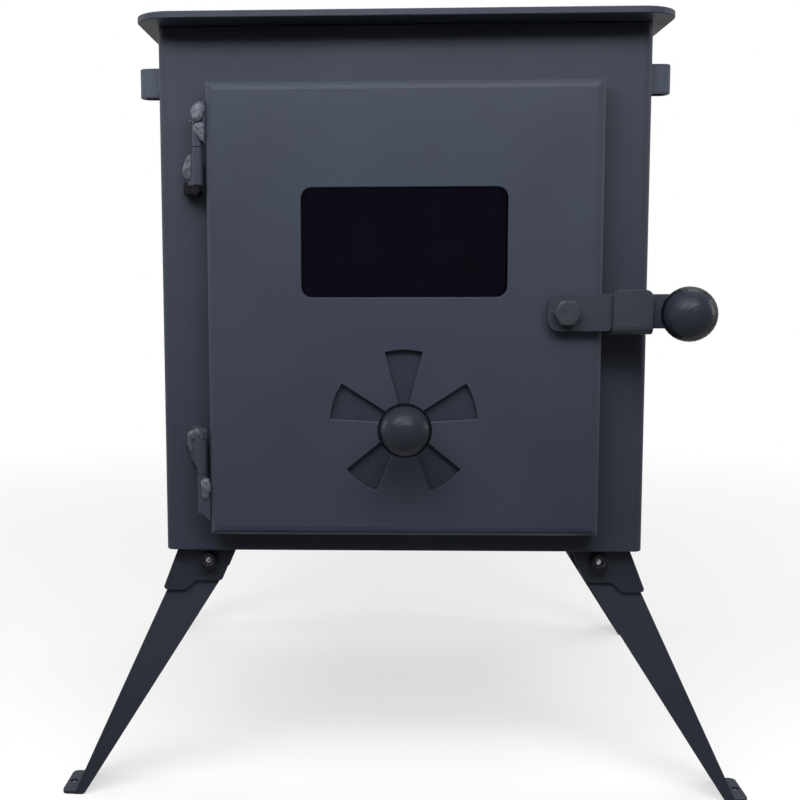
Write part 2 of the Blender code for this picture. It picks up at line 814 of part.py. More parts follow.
def glass_retainer(side, name, joint):
    """Z shaped strip, held by two nuts, that presses one edge of the glass to the door."""
    glass_edge = WINDOW_HEIGHT / 2 + GLASS_LAP
    over = glass_front() + GLASS_THICKNESS + TOUCH_GAP
    foot = PANEL_BACK + TOUCH_GAP
    step_in = glass_edge + TOUCH_GAP
    step_out = step_in + RETAINER_SHEET
    corners = [
        (over, glass_edge - RETAINER_LAP),
        (over, step_in),
        (foot, step_in),
        (foot, step_out + RETAINER_FOOT),
        (foot + RETAINER_SHEET, step_out + RETAINER_FOOT),
        (foot + RETAINER_SHEET, step_out),
        (over + RETAINER_SHEET, step_out),
        (over + RETAINER_SHEET, glass_edge - RETAINER_LAP),
    ]
    outline = [(y, WINDOW_Z + side * z) for y, z in corners]
    half = RETAINER_LENGTH / 2
    strip = flat_solid(name, [outline], "X", -half, half, "inner_steel", joint)
    for x, z in stud_places():
        if (z - WINDOW_Z) * side > 0:
            hole = rod(
                name + "_hole_cutter",
                "Y",
                Vector((x, 0, z)),
                STUD_RADIUS + TOUCH_GAP,
                PANEL_BACK - DOOR_SHEET,
                over + DOOR_SHEET,
                joint=joint,
                sides=12,
            )
            cut(strip, hole)
    return strip


def retainer_nut(x, z, name, joint):
    hole = circle(x, z, STUD_RADIUS + TOUCH_GAP, 12)
    front = retainer_foot_back() + TOUCH_GAP
    outline = [hexagon(x, z, NUT_M4_FLATS), hole]
    return flat_solid(name, outline, "Y", front, front + NUT_M4_HEIGHT, "fastener_steel", joint)


# Air vent


def vent_disc(joint):
    """Damper disc behind the door. Its blades lie between the door's while the vent is shut."""
    blades = []
    for k in range(VENT_BLADES):
        blades.append(vent_blade(blade_angle(k) + math.pi / VENT_BLADES))
    outlines = [
        circle(0, VENT_Z, DISC_RADIUS, 2 * ROUND_SIDES),
        circle(0, VENT_Z, SPINDLE_RADIUS + TOUCH_GAP, SMALL_SIDES),
    ]
    front = PANEL_BACK + TOUCH_GAP
    return flat_solid(
        "vent_disc", outlines + blades, "Y", front, front + DISC_THICKNESS, "door_paint", joint
    )


def ball_handle(name, foot, neck, neck_radius, bore, joint):
    """Ball on a short neck, bored from the neck's foot to its middle to take a stud."""
    centre = neck + BALL_RADIUS
    start = math.asin(neck_radius / BALL_RADIUS)
    steps = ROUND_SIDES // 2
    profile = []
    for k in range(steps + 1):
        a = (math.pi - start) * k / steps
        profile.append((BALL_RADIUS * math.sin(a), centre + BALL_RADIUS * math.cos(a)))
    profile.append((neck_radius, 0))
    profile.append((bore, 0))
    profile.append((bore, centre))
    profile.append((0, centre))
    return turned_solid(name, profile, "Y", foot, "knob_plastic", joint)


def vent_knob(joint):
    """Ball knob in front of the door that turns the damper disc."""
    foot = Vector((0, -DOOR_FACE - TOUCH_GAP, VENT_Z))
    bore = SPINDLE_RADIUS + TOUCH_GAP
    return ball_handle("vent_knob", foot, KNOB_NECK, KNOB_NECK_RADIUS, bore, joint)


def vent_stack():
    """Front faces of the disc, spring washer and nut behind the door, one after the other."""
    disc = PANEL_BACK + TOUCH_GAP
    washer = disc + DISC_THICKNESS + TOUCH_GAP
    nut = washer + SPRING_WASHER + TOUCH_GAP
    return disc, washer, nut


def vent_spindle(joint):
    """Threaded rod that ties the knob in front of the door to the disc behind it."""
    nut = vent_stack()[2]
    front = KNOB_Y + TOUCH_GAP
    back = nut + NUT_M6_HEIGHT + SPINDLE_TAIL
    centre = Vector((0, 0, VENT_Z))
    return rod("vent_spindle", "Y", centre, SPINDLE_RADIUS, front, back, "fastener_steel", joint)


def vent_washer(joint):
    outlines = [
        circle(0, VENT_Z, SPRING_WASHER_RADIUS, SMALL_SIDES),
        circle(0, VENT_Z, SPINDLE_RADIUS + TOUCH_GAP, SMALL_SIDES),
    ]
    front = vent_stack()[1]
    return flat_solid(
        "vent_washer", outlines, "Y", front, front + SPRING_WASHER, "fastener_steel", joint
    )


def vent_nut(joint):
    hole = circle(0, VENT_Z, SPINDLE_RADIUS + TOUCH_GAP, SMALL_SIDES)
    front = vent_stack()[2]
    outlines = [hexagon(0, VENT_Z, NUT_M6_FLATS), hole]
    return flat_solid("vent_nut", outlines, "Y", front, front + NUT_M6_HEIGHT, "fastener_steel", joint)


# Latch


def latch_spacer(joint):
    outlines = [
        circle(LATCH_X, LATCH_Z, LATCH_SPACER_RADIUS, SMALL_SIDES),
        circle(LATCH_X, LATCH_Z, BOLT_RADIUS + TOUCH_GAP, SMALL_SIDES),
    ]
    back = -DOOR_FACE - TOUCH_GAP
    return flat_solid(
        "latch_spacer", outlines, "Y", back - LATCH_SPACER, back, "fastener_steel", joint
    )


def latch_bolt(joint):
    """Hexagon bolt through the lever and the door, points to the left and right."""
    head_back = BAR_FRONT - TOUCH_GAP
    head_front = head_back - BOLT_HEAD
    head = flat_solid(
        "latch_bolt",
        [hexagon(LATCH_X, LATCH_Z, BOLT_FLATS)],
        "Y",
        head_front,
        head_back,
        "fastener_steel",
        joint,
    )
    corner = BOLT_FLATS / math.sqrt(3)
    face = 0.475 * BOLT_FLATS
    profile = [
        (0, BOLT_HEAD),
        (face, BOLT_HEAD),
        (corner + TOUCH_GAP, BOLT_HEAD - BOLT_CHAMFER),
        (corner + TOUCH_GAP, -TOUCH_GAP),
        (0, -TOUCH_GAP),
    ]
    place = Vector((LATCH_X, head_back, LATCH_Z))
    chamfer = turned_solid("bolt_chamfer_guide", profile, "Y", place, joint=joint)
    combine(head, chamfer, "INTERSECT")
    tail = PANEL_BACK + TOUCH_GAP + NUT_M8_HEIGHT + TOUCH_GAP
    shank = rod(
        "bolt_shank_guide",
        "Y",
        Vector((LATCH_X, 0, LATCH_Z)),
        BOLT_RADIUS,
        head_back - BOLT_HEAD / 2,
        tail,
        joint=joint,
    )
    return fuse(head, shank)


def latch_nut(joint):
    hole = circle(LATCH_X, LATCH_Z, BOLT_RADIUS + TOUCH_GAP, SMALL_SIDES)
    front = PANEL_BACK + TOUCH_GAP
    outlines = [hexagon(LATCH_X, LATCH_Z, BOLT_FLATS), hole]
    return flat_solid("latch_nut", outlines, "Y", front, front + NUT_M8_HEIGHT, "fastener_steel", joint)


def keeper_left():
    return DOOR_WIDTH / 2 + KEEPER_SIDE_CLEARANCE


def bar_bottom():
    """Lower edge of the lever where it lies in the keeper."""
    return LATCH_Z - BAR_WIDTH / 2 + BAR_STEP


def latch_bar(joint):
    """Flat lever: round corners at the bolt, stepped in below where the keeper holds it."""
    low = LATCH_Z - BAR_WIDTH / 2
    high = LATCH_Z + BAR_WIDTH / 2
    step_x = keeper_left() - TOUCH_GAP
    tip = LATCH_X + BALL_REACH + BAR_TIP
    corners = [
        (LATCH_X - BAR_TAIL, low, BAR_CORNER),
        (step_x - BAR_STEP, low, 0),
        (step_x, bar_bottom(), 0),
        (tip, bar_bottom(), BAR_TIP),
        (tip, high, BAR_TIP),
        (LATCH_X - BAR_TAIL, high, BAR_CORNER),
    ]
    hole = circle(LATCH_X, LATCH_Z, BOLT_RADIUS + TURN_GAP, SMALL_SIDES)
    stud_hole = circle(LATCH_X + BALL_REACH, LATCH_Z, BALL_STUD_RADIUS + TOUCH_GAP, SMALL_SIDES)
    bar = flat_solid(
        "latch_bar", [rounded(corners), hole, stud_hole], "Y", BAR_FRONT, BAR_BACK, "door_paint", joint
    )
    return soften(bar)


def ball_knob(joint):
    """Ball handle screwed to a stud in the end of the lever."""
    foot = Vector((LATCH_X + BALL_REACH, BAR_FRONT - TOUCH_GAP, LATCH_Z))
    bore = BALL_STUD_RADIUS + TOUCH_GAP
    return ball_handle("ball_knob", foot, BALL_COLLAR, BALL_COLLAR_RADIUS, bore, joint)


def ball_stud(joint):
    """Stud of the ball handle, with a low head behind the lever."""
    centre = Vector((LATCH_X + BALL_REACH, 0, LATCH_Z))
    head = BAR_BACK + TOUCH_GAP
    front = BALL_Y + TOUCH_GAP
    back = head + LATCH_SPACER / 4
    stud = rod("ball_stud", "Y", centre, BALL_STUD_RADIUS, front, back, "fastener_steel", joint)
    cap = rod(
        "ball_stud_head_guide",
        "Y",
        centre,
        2 * BALL_STUD_RADIUS,
        head,
        head + LATCH_SPACER / 2,
        joint=joint,
    )
    return fuse(stud, cap)


def latch_keeper():
    """Hook welded to the body: a shelf under the lever, bent up in front of it."""
    left = keeper_left()
    shelf_top = bar_bottom() - TOUCH_GAP
    front = BAR_FRONT - 3 * TOUCH_GAP
    top = LATCH_Z + BAR_WIDTH / 2 + KEEPER_RISE
    outer_bend = KEEPER_BEND_INSIDE + KEEPER_SHEET
    corners = [
        (-TOUCH_GAP, shelf_top, 0),
        (front, shelf_top, KEEPER_BEND_INSIDE),
        (front, top, 0),
        (front - KEEPER_SHEET, top, 0),
        (front - KEEPER_SHEET, shelf_top - KEEPER_SHEET, outer_bend),
        (-TOUCH_GAP, shelf_top - KEEPER_SHEET, 0),
    ]
    hook = flat_solid(
        "latch_keeper", [rounded(corners)], "X", left, left + KEEPER_WIDTH, "body_paint"
    )
    margin = KEEPER_SHEET
    right = left + KEEPER_WIDTH
    trim = rounded(
        [
            (left, shelf_top - 3 * margin, 0),
            (right, shelf_top - 3 * margin, 0),
            (right, top, KEEPER_CORNER),
            (left, top, KEEPER_CORNER),
        ]
    )
    guide = flat_solid("keeper_corner_guide", [trim], "Y", front - 2 * margin, margin)
    combine(hook, guide, "INTERSECT")
    return soften(hook)


# Hinges


def hinge_leaf(name, direction, split, way, lug, sheet, finish, joint=None):
    """Half a weld-on hinge: a bored knuckle fused to its lug.

    direction is the lug's angle in plan and way is 1 for a half above the split, -1 below it.
    lug holds corners (distance from the axis, distance beyond the knuckle's near end, radius).
    sheet is where the lug starts and ends across its own plane, measured from the axis.
    """
    near = split + way * TURN_GAP
    far = near + way * KNUCKLE_LENGTH
    low, high = sorted((near, far))
    profile = [(BORE_RADIUS, high), (KNUCKLE_RADIUS, high), (KNUCKLE_RADIUS, low), (BORE_RADIUS, low)]
    place = Vector((HINGE_X, HINGE_Y, 0))
    knuckle = turned_solid(name, profile, "Z", place, finish, joint, SMALL_SIDES, hollow=True)
    outline = rounded([(u, near + way * v, radius) for u, v, radius in lug])
    plate = flat_solid(name + "_lug_guide", [outline], "Y", *sheet, joint=joint)
    turn = Matrix.Translation(place) @ Matrix.Rotation(direction, 4, "Z")
    plate.matrix_basis = turn @ plate.matrix_basis
    bore_low, bore_high = sorted((near - way * LUG_CORNER, far + way * TOUCH_GAP))
    bore = rod(name + "_bore_cutter", "Z", place, BORE_RADIUS, bore_low, bore_high, joint=joint)
    return cut(fuse(knuckle, plate), bore)


def body_lug():
    """Lug with a sloped end next to the split and a rounded tail that closes the knuckle's end."""
    reach = body_lug_reach()
    root = (BORE_RADIUS + KNUCKLE_RADIUS) / 2
    end = KNUCKLE_LENGTH + BODY_LUG_TAIL
    return [
        (root, BODY_LUG_TAPER / 3, 0),
        (reach, BODY_LUG_TAPER, 0),
        (reach, end, LUG_CORNER),
        (-BODY_LUG_TOE, end, LUG_CORNER / 2),
        (-BODY_LUG_TOE, KNUCKLE_LENGTH - TOUCH_GAP, 0),
        (root, KNUCKLE_LENGTH - TOUCH_GAP, 0),
    ]


def door_lug():
    """Lug that crosses the knuckle's front to the door's edge, with both its ends sloped."""
    reach = HINGE_OUT - TOUCH_GAP
    root = -KNUCKLE_RADIUS / 2
    return [
        (root, DOOR_LUG_START + DOOR_LUG_SLOPE, 0),
        (reach, DOOR_LUG_START, 0),
        (reach, KNUCKLE_LENGTH + DOOR_LUG_TAPER, 0),
        (root, KNUCKLE_LENGTH - DOOR_LUG_START, 0),
    ]


def body_lug_direction():
    return math.atan2(HINGE_FORWARD, -BODY_LUG_SPREAD)


def body_lug_reach():
    """Length of a lug from the pin's axis to just short of the body's front face."""
    direction = body_lug_direction()
    tilt = LUG_SHEET / 2 * abs(math.cos(direction))
    return (HINGE_FORWARD - TOUCH_GAP - tilt) / math.sin(direction)


def hinges(joint):
    """Two hinges. The body carries the lower half of the upper one and the upper half of the lower."""
    upper = DOOR_HIGH - UPPER_HINGE_BELOW_DOOR_TOP
    lower = DOOR_LOW + LOWER_HINGE_ABOVE_DOOR_BOTTOM
    washer_top = lower - TURN_GAP
    door_half_split = washer_top - HINGE_WASHER
    middle = (-LUG_SHEET / 2, LUG_SHEET / 2)
    front = (-KNUCKLE_RADIUS - TOUCH_GAP, -KNUCKLE_RADIUS - TOUCH_GAP + DOOR_LUG_SHEET)
    for name, split, way in (("hinge_upper_body", upper, -1), ("hinge_lower_body", lower, 1)):
        hinge_leaf(name, body_lug_direction(), split, way, body_lug(), middle, "body_paint")
    for name, split, way in (("hinge_upper_door", upper, 1), ("hinge_lower_door", door_half_split, -1)):
        hinge_leaf(name, 0, split, way, door_lug(), front, "door_paint", joint)
    pin_half = KNUCKLE_LENGTH - TOUCH_GAP
    axis = Vector((HINGE_X, HINGE_Y, 0))
    for name, split in (("hinge_upper_pin", upper), ("hinge_lower_pin", lower)):
        rod(name, "Z", axis, PIN_RADIUS, split - pin_half, split + pin_half, "fastener_steel")
    outlines = [
        circle(HINGE_X, HINGE_Y, KNUCKLE_RADIUS, SMALL_SIDES),
        circle(HINGE_X, HINGE_Y, BORE_RADIUS, SMALL_SIDES),
    ]
    flat_solid(
        "hinge_lower_washer", outlines, "Z", washer_top - HINGE_WASHER, washer_top, "fastener_steel"
    )


# Legs


def bracket_outline():
    """Ear of a leg bracket, as (distance from the middle, height)."""
    top = BASE_HEIGHT - TOUCH_GAP
    outer_low = BASE_HEIGHT - BRACKET_OUTER_DROP
    inner_low = BASE_HEIGHT - BRACKET_INNER_DROP
    outer = bracket_outer(outer_low)
    inner = BRACKET_TOP_INNER + (top - inner_low) * math.tan(BRACKET_INNER_LEAN)
    step = BRACKET_OUTER_DROP - BRACKET_INNER_DROP
    return [
        (bracket_outer(top), top, 0),
        (outer, outer_low, BRACKET_CORNER),
        (outer - BRACKET_STEP_WIDTH, outer_low, BRACKET_CORNER),
        (outer - BRACKET_STEP_WIDTH - step, inner_low, BRACKET_CORNER),
        (inner, inner_low, BRACKET_CORNER),
        (BRACKET_TOP_INNER, top, 0),
    ]


def bracket_outer(z):
    """Outer face of the bracket's leaning web at height z."""
    return BRACKET_TOP_OUTER + (BASE_HEIGHT - TOUCH_GAP - z) * math.tan(BRACKET_OUTER_LEAN)


def leg_bracket(side, front, name):
    """Channel welded under the base: two ears and a leaning web that stops the leg."""
    near = BRACKET_FROM_FRONT
    far = BRACKET_FROM_FRONT + BRACKET_DEPTH
    low, high = sorted((from_end(near, front), from_end(far, front)))
    outline = rounded([(side * x, z, r) for x, z, r in bracket_outline()])
    bracket = flat_solid(name, [outline], "Y", low, high, "leg_paint")
    wall = BRACKET_SHEET / math.cos(BRACKET_OUTER_LEAN)
    above = BASE_HEIGHT + BRACKET_OUTER_DROP
    below = BASE_HEIGHT - 2 * BRACKET_OUTER_DROP
    inside = BRACKET_TOP_INNER - BRACKET_DEPTH
    hollow = [
        (bracket_outer(above) - wall, above),
        (bracket_outer(below) - wall, below),
        (inside, below),
        (inside, above),
    ]
    cutter = flat_solid(
        name + "_hollow_cutter",
        [[(side * x, z) for x, z in hollow]],
        "Y",
        low + BRACKET_SHEET,
        high - BRACKET_SHEET,
    )
    centre = Vector((side * LEG_PIVOT_X, 0, LEG_PIVOT_Z))
    hole = rod(
        name + "_hole_cutter",
        "Y",
        centre,
        SCREW_HOLE_RADIUS,
        low - BRACKET_SHEET,
        high + BRACKET_SHEET,
    )
    return cut(bracket, cutter, hole)


def leg_outer(z):
    """Outer face of the leg's web: it rests on the lower end of the bracket's web."""
    low = BASE_HEIGHT - BRACKET_OUTER_DROP
    seat = bracket_outer(low) - BRACKET_SHEET / math.cos(BRACKET_OUTER_LEAN) - TOUCH_GAP
    return seat + (low - z) * math.tan(LEG_SPLAY)


def leg_outline():
    """Side of a leg: a crown round the pivot and two edges that close to the toe.

    Between the crown and the inner edge runs a short back, which lies flat under the base
    once the leg is folded.
    """
    pivot = Vector((LEG_PIVOT_X, LEG_PIVOT_Z))
    out = Vector((math.cos(LEG_SPLAY), math.sin(LEG_SPLAY)))
    web_distance = (Vector((leg_outer(LEG_PIVOT_Z), LEG_PIVOT_Z)) - pivot).dot(out)
    web_top = pivot + out * web_distance
    points = [tuple(web_top)]
    crown_start = math.radians(75)
    crown_end = math.radians(90) + LEG_FOLD
    steps = 3 * CORNER_STEPS
    for k in range(steps + 1):
        a = crown_start + (crown_end - crown_start) * k / steps
        points.append((pivot.x + LEG_CROWN * math.cos(a), pivot.y + LEG_CROWN * math.sin(a)))
    back = Vector((-math.sin(crown_end), math.cos(crown_end))) * LEG_BACK_LENGTH
    heel = tuple(Vector(points[-1]) + back)
    points.append(heel)
    toe_x = heel[0] + heel[1] * math.tan(LEG_INNER_SPLAY)
    toe = rounded([(*heel, 0), (toe_x, 0, LEG_TOE_ROUND), (leg_outer(0), 0, 0)])
    points += toe[1:]
    return points


def leg(side, front, name, joint):
    """Tapered channel with the web outside, ending in a flat foot bent outwards."""
    near = BRACKET_FROM_FRONT + BRACKET_SHEET + TOUCH_GAP
    low, high = sorted((from_end(near, front), from_end(near + LEG_DEPTH, front)))
    outline = [(side * x, z) for x, z in leg_outline()]
    channel = flat_solid(name, [outline], "Y", low, high, "leg_paint", joint)
    wall = LEG_SHEET / math.cos(LEG_SPLAY)
    above = BASE_HEIGHT + LEG_PIVOT_DROP
    below = -LEG_PIVOT_DROP
    hollow = [
        (leg_outer(above) - wall, above),
        (leg_outer(below) - wall, below),
        (0, below),
        (0, above),
    ]
    hollow_cutter = flat_solid(
        name + "_hollow_cutter",
        [[(side * x, z) for x, z in hollow]],
        "Y",
        low + LEG_SHEET,
        high - LEG_SHEET,
        joint=joint,
    )
    centre = Vector((side * LEG_PIVOT_X, 0, LEG_PIVOT_Z))
    screw_hole = rod(
        name + "_hole_cutter",
        "Y",
        centre,
        SCREW_HOLE_RADIUS,
        low - LEG_SHEET,
        high + LEG_SHEET,
        joint=joint,
    )
    root = leg_outer(0) - wall
    tip = leg_outer(0) + FOOT_LENGTH
    foot_low = low + EDGE_ROUND
    foot_high = high - EDGE_ROUND
    foot_outline = rounded(
        [
            (side * root, foot_low, 0),
            (side * tip, foot_low, FOOT_CORNER),
            (side * tip, foot_high, FOOT_CORNER),
            (side * root, foot_high, 0),
        ]
    )
    foot_hole = circle(
        side * (leg_outer(0) + FOOT_LENGTH / 2), (low + high) / 2, FOOT_HOLE_RADIUS, 12
    )
    foot = flat_solid(
        name + "_foot_guide", [foot_outline, foot_hole], "Z", 0, LEG_SHEET, joint=joint
    )
    cut(channel, hollow_cutter, screw_hole)
    return fuse(channel, foot)


def leg_screw(side, front, name):
    """Flanged socket head screw through the bracket and the leg, its head outside the bracket."""
    x = side * LEG_PIVOT_X
    seat = BRACKET_FROM_FRONT - TOUCH_GAP
    end = BRACKET_FROM_FRONT + BRACKET_DEPTH + 2 * TOUCH_GAP + NUT_M6_HEIGHT + SCREW_TAIL
    head_low, head_high = sorted((from_end(seat - SCREW_HEAD_HEIGHT, front), from_end(seat, front)))
    centre = Vector((x, 0, LEG_PIVOT_Z))
    head = rod(
        name, "Y", centre, SCREW_HEAD_RADIUS, head_low, head_high, "fastener_steel", sides=ROUND_SIDES
    )
    soften(head)
    flange_low, flange_high = sorted((from_end(seat - SCREW_FLANGE, front), from_end(seat, front)))
    flange = rod(
        name + "_flange_guide",
        "Y",
        centre,
        SCREW_FLANGE_RADIUS,
        flange_low,
        flange_high,
        sides=ROUND_SIDES,
    )
    shank_low, shank_high = sorted((from_end(seat - SCREW_HEAD_HEIGHT / 4, front), from_end(end, front)))
    shank = rod(name + "_shank_guide", "Y", centre, SCREW_RADIUS, shank_low, shank_high)
    socket_near = seat - SCREW_HEAD_HEIGHT - SCREW_SOCKET_DEPTH
    socket_far = seat - SCREW_HEAD_HEIGHT + SCREW_SOCKET_DEPTH
    socket_low, socket_high = sorted((from_end(socket_near, front), from_end(socket_far, front)))
    socket = flat_solid(
        name + "_socket_cutter",
        [hexagon(x, LEG_PIVOT_Z, SCREW_SOCKET_FLATS)],
        "Y",
        socket_low,
        socket_high,
    )
    return cut(fuse(head, flange, shank), socket)


def leg_nut(side, front, name):
    x = side * LEG_PIVOT_X
    seat = BRACKET_FROM_FRONT + BRACKET_DEPTH + TOUCH_GAP
    low, high = sorted((from_end(seat, front), from_end(seat + NUT_M6_HEIGHT, front)))
    outlines = [
        hexagon(x, LEG_PIVOT_Z, NUT_M6_FLATS),
        circle(x, LEG_PIVOT_Z, SCREW_HOLE_RADIUS, SMALL_SIDES),
    ]
    return flat_solid(name, outlines, "Y", low, high, "fastener_steel")


# Assembly


def build_firebox():
    body_wrap()
    rear_panel()
    base_plate()
    top_plate()
    flue_collar()
    baffle_plate()
    baffle_rail(-1, "baffle_rail_left")
    baffle_rail(1, "baffle_rail_right")
    fire_grate()
    latch_keeper()


def build_door(joint):
    door_panel(joint)
    seal_frame(joint)
    door_rope(joint)
    window_gasket(joint)
    window_glass(joint)
    glass_retainer(1, "glass_retainer_upper", joint)
    glass_retainer(-1, "glass_retainer_lower", joint)
    for number, (x, z) in enumerate(stud_places(), 1):
        retainer_nut(x, z, "retainer_nut_" + str(number), joint)
    latch_spacer(joint)
    latch_bolt(joint)
    latch_nut(joint)
    hinges(joint)


def build_vent(joint):
    vent_disc(joint)
    vent_knob(joint)
    vent_spindle(joint)
    vent_washer(joint)
    vent_nut(joint)


def build_latch(joint):
    latch_bar(joint)
    ball_knob(joint)
    ball_stud(joint)


def build_corner(side, front):
    """Leg, bracket, screw and nut at one corner, and the shelf loop above them."""
    where = ("front" if front else "rear") + ("_left" if side < 0 else "_right")
    joint_y = from_end(BRACKET_FROM_FRONT + BRACKET_DEPTH / 2, front)
    place = (side * LEG_PIVOT_X, joint_y, LEG_PIVOT_Z)
    joint = new_empty("leg_axis_" + where, place, SCENE["stove"])
    leg_bracket(side, front, "leg_bracket_" + where)
    leg_screw(side, front, "leg_screw_" + where)
    leg_nut(side, front, "leg_nut_" + where)
    leg(side, front, "leg_" + where, joint)
    shelf_loop(side, front, "shelf_loop_" + where)


def build_stove():
    clear_scene()
    SCENE["parts"] = new_collection("camping_wood_stove")
    SCENE["cutters"] = new_collection("cutters")
    SCENE["stove"] = new_empty("stove", (0, -(STOVE_FRONT + STOVE_BACK) / 2, 0))
    door_axis = new_empty("door_axis", (HINGE_X, HINGE_Y, DOOR_MIDDLE), SCENE["stove"])
    vent_axis = new_empty("vent_axis", (0, -DOOR_FACE, VENT_Z), SCENE["stove"])
    latch_axis = new_empty("latch_axis", (LATCH_X, BAR_FRONT, LATCH_Z), SCENE["stove"])
    build_firebox()
    build_door(door_axis)
    build_vent(vent_axis)
    build_latch(latch_axis)
    for side in (-1, 1):
        for front in (True, False):
            build_corner(side, front)


build_stove()
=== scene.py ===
"""Looks of the camping wood stove: painted steel, weld beads, rope seal, glass and gloss knobs."""

import json
import math

import bpy
import numpy as np
from mathutils import Matrix, Vector


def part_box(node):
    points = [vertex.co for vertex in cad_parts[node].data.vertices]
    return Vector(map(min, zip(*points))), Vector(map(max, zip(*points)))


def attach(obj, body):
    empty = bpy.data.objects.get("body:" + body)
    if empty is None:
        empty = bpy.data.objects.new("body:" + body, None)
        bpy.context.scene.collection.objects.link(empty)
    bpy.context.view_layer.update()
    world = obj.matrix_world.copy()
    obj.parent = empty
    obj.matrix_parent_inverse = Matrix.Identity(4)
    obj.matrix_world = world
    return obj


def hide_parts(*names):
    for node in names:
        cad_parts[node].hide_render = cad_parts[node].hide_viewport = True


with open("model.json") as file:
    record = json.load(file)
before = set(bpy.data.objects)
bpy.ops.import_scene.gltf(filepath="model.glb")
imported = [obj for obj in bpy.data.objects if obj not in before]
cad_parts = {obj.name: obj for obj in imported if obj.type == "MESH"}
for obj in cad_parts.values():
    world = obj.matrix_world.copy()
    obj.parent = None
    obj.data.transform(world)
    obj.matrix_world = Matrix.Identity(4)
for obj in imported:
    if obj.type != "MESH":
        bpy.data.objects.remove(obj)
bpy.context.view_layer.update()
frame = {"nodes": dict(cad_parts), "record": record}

NODES = frame["nodes"]
TAU = 2 * math.pi


def edges(node):
    """Lowest and highest corners of a CAD node as two arrays."""
    low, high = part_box(node)
    return np.array(low), np.array(high)


FRONT_Y = edges("body_wrap")[0][1]


# Camera, at the photograph's place and angle

PICTURE_SIZE = 800
FOCAL_PIXELS = 1191.84
MAIN_POINT = (335.54, 389.27)
CAMERA_FROM_BODY = (-0.0141, -0.6943, 0.3286)
CAMERA_YAW = math.radians(2.1)
CAMERA_DOWN = math.radians(6.08)
CAMERA_ROLL = math.radians(-0.205)
SENSOR_WIDTH = 36.0


def add_camera():
    """Camera with the photograph's focal length, shift, place and turn."""
    camera = bpy.data.cameras.new("camera")
    camera.sensor_width = SENSOR_WIDTH
    camera.lens = FOCAL_PIXELS / PICTURE_SIZE * SENSOR_WIDTH
    camera.shift_x = (PICTURE_SIZE / 2 - MAIN_POINT[0]) / PICTURE_SIZE
    camera.shift_y = (MAIN_POINT[1] - PICTURE_SIZE / 2) / PICTURE_SIZE
    camera.clip_start = 0.01
    holder = bpy.data.objects.new("camera", camera)
    forward = Vector((
        -math.sin(CAMERA_YAW) * math.cos(CAMERA_DOWN),
        math.cos(CAMERA_YAW) * math.cos(CAMERA_DOWN),
        -math.sin(CAMERA_DOWN),
    ))
    right = Vector((math.cos(CAMERA_YAW), math.sin(CAMERA_YAW), 0))
    up = right.cross(forward)
    c, s = math.cos(CAMERA_ROLL), math.sin(CAMERA_ROLL)
    columns = (c * right + s * up, -s * right + c * up, -forward)
    place = Vector(CAMERA_FROM_BODY) + Vector((0, FRONT_Y, 0))
    turn = Matrix(columns).transposed().to_4x4()
    holder.matrix_world = Matrix.Translation(place) @ turn
    bpy.context.scene.collection.objects.link(holder)
    bpy.context.scene.camera = holder


# Light, floor and background

WORLD_LEVEL = 0.09
FLOOR_BOUNCE = 0.10
FLOOR_LIFT = 0.62
FLOOR_REACH = 6.0
FLOOR_WHITE_FROM = 0.45
FLOOR_WHITE_TO = 1.3
# Name, place, aim, width and height, watts
LAMPS = (
    ("key_softbox", (-0.08, -0.80, 1.0), (0, -0.15, 0.33), (1.1, 0.8), 8.5),
    ("top_strip", (-0.06, -0.57, 0.66), (0, -0.18, 0.43), (0.9, 0.12), 3.7),
    ("left_fill", (-1.3, 0.10, 0.60), (0, 0, 0.3), (0.5, 0.7), 4.5),
    ("right_fill", (1.3, 0.10, 0.60), (0, 0, 0.3), (0.5, 0.7), 4.5),
    ("back_softbox", (0.3, 0.9, 1.6), (0, 0, 0.3), (1.4, 0.9), 10),
)


def link(tree, source, target):
    """Join a node's output to an input."""
    tree.links.new(source, target)


def seen_share(tree):
    """1 for the rays that show the background: the camera's, reflected and refracted ones."""
    path = tree.nodes.new("ShaderNodeLightPath")
    total = path.outputs["Is Camera Ray"]
    for kind in ("Is Glossy Ray", "Is Transmission Ray"):
        larger = tree.nodes.new("ShaderNodeMath")
        larger.operation = "MAXIMUM"
        link(tree, total, larger.inputs[0])
        link(tree, path.outputs[kind], larger.inputs[1])
        total = larger.outputs[0]
    return total


def add_world():
    """White wherever the background shows, and a soft, even grey light to everything else."""
    world = bpy.data.worlds.new("studio")
    bpy.context.scene.world = world
    world.use_nodes = True
    tree = world.node_tree
    tree.nodes.clear()
    out = tree.nodes.new("ShaderNodeOutputWorld")
    seen = tree.nodes.new("ShaderNodeBackground")
    seen.inputs["Color"].default_value = (1, 1, 1, 1)
    lit = tree.nodes.new("ShaderNodeBackground")
    lit.inputs["Color"].default_value = (0.96, 0.98, 1.0, 1)
    lit.inputs["Strength"].default_value = WORLD_LEVEL
    mix = tree.nodes.new("ShaderNodeMixShader")
    link(tree, seen_share(tree), mix.inputs["Fac"])
    link(tree, lit.outputs[0], mix.inputs[1])
    link(tree, seen.outputs[0], mix.inputs[2])
    link(tree, mix.outputs[0], out.inputs["Surface"])


def add_lamp(name, place, aim, size, power):
    """White rectangular lamp at a place, turned to its aim."""
    lamp = bpy.data.lights.new(name, "AREA")
    lamp.shape = "RECTANGLE"
    lamp.size, lamp.size_y = size
    lamp.energy = power
    holder = bpy.data.objects.new(name, lamp)
    holder.location = place
    way = Vector(aim) - Vector(place)
    holder.rotation_euler = way.to_track_quat("-Z", "Y").to_euler()
    bpy.context.scene.collection.objects.link(holder)


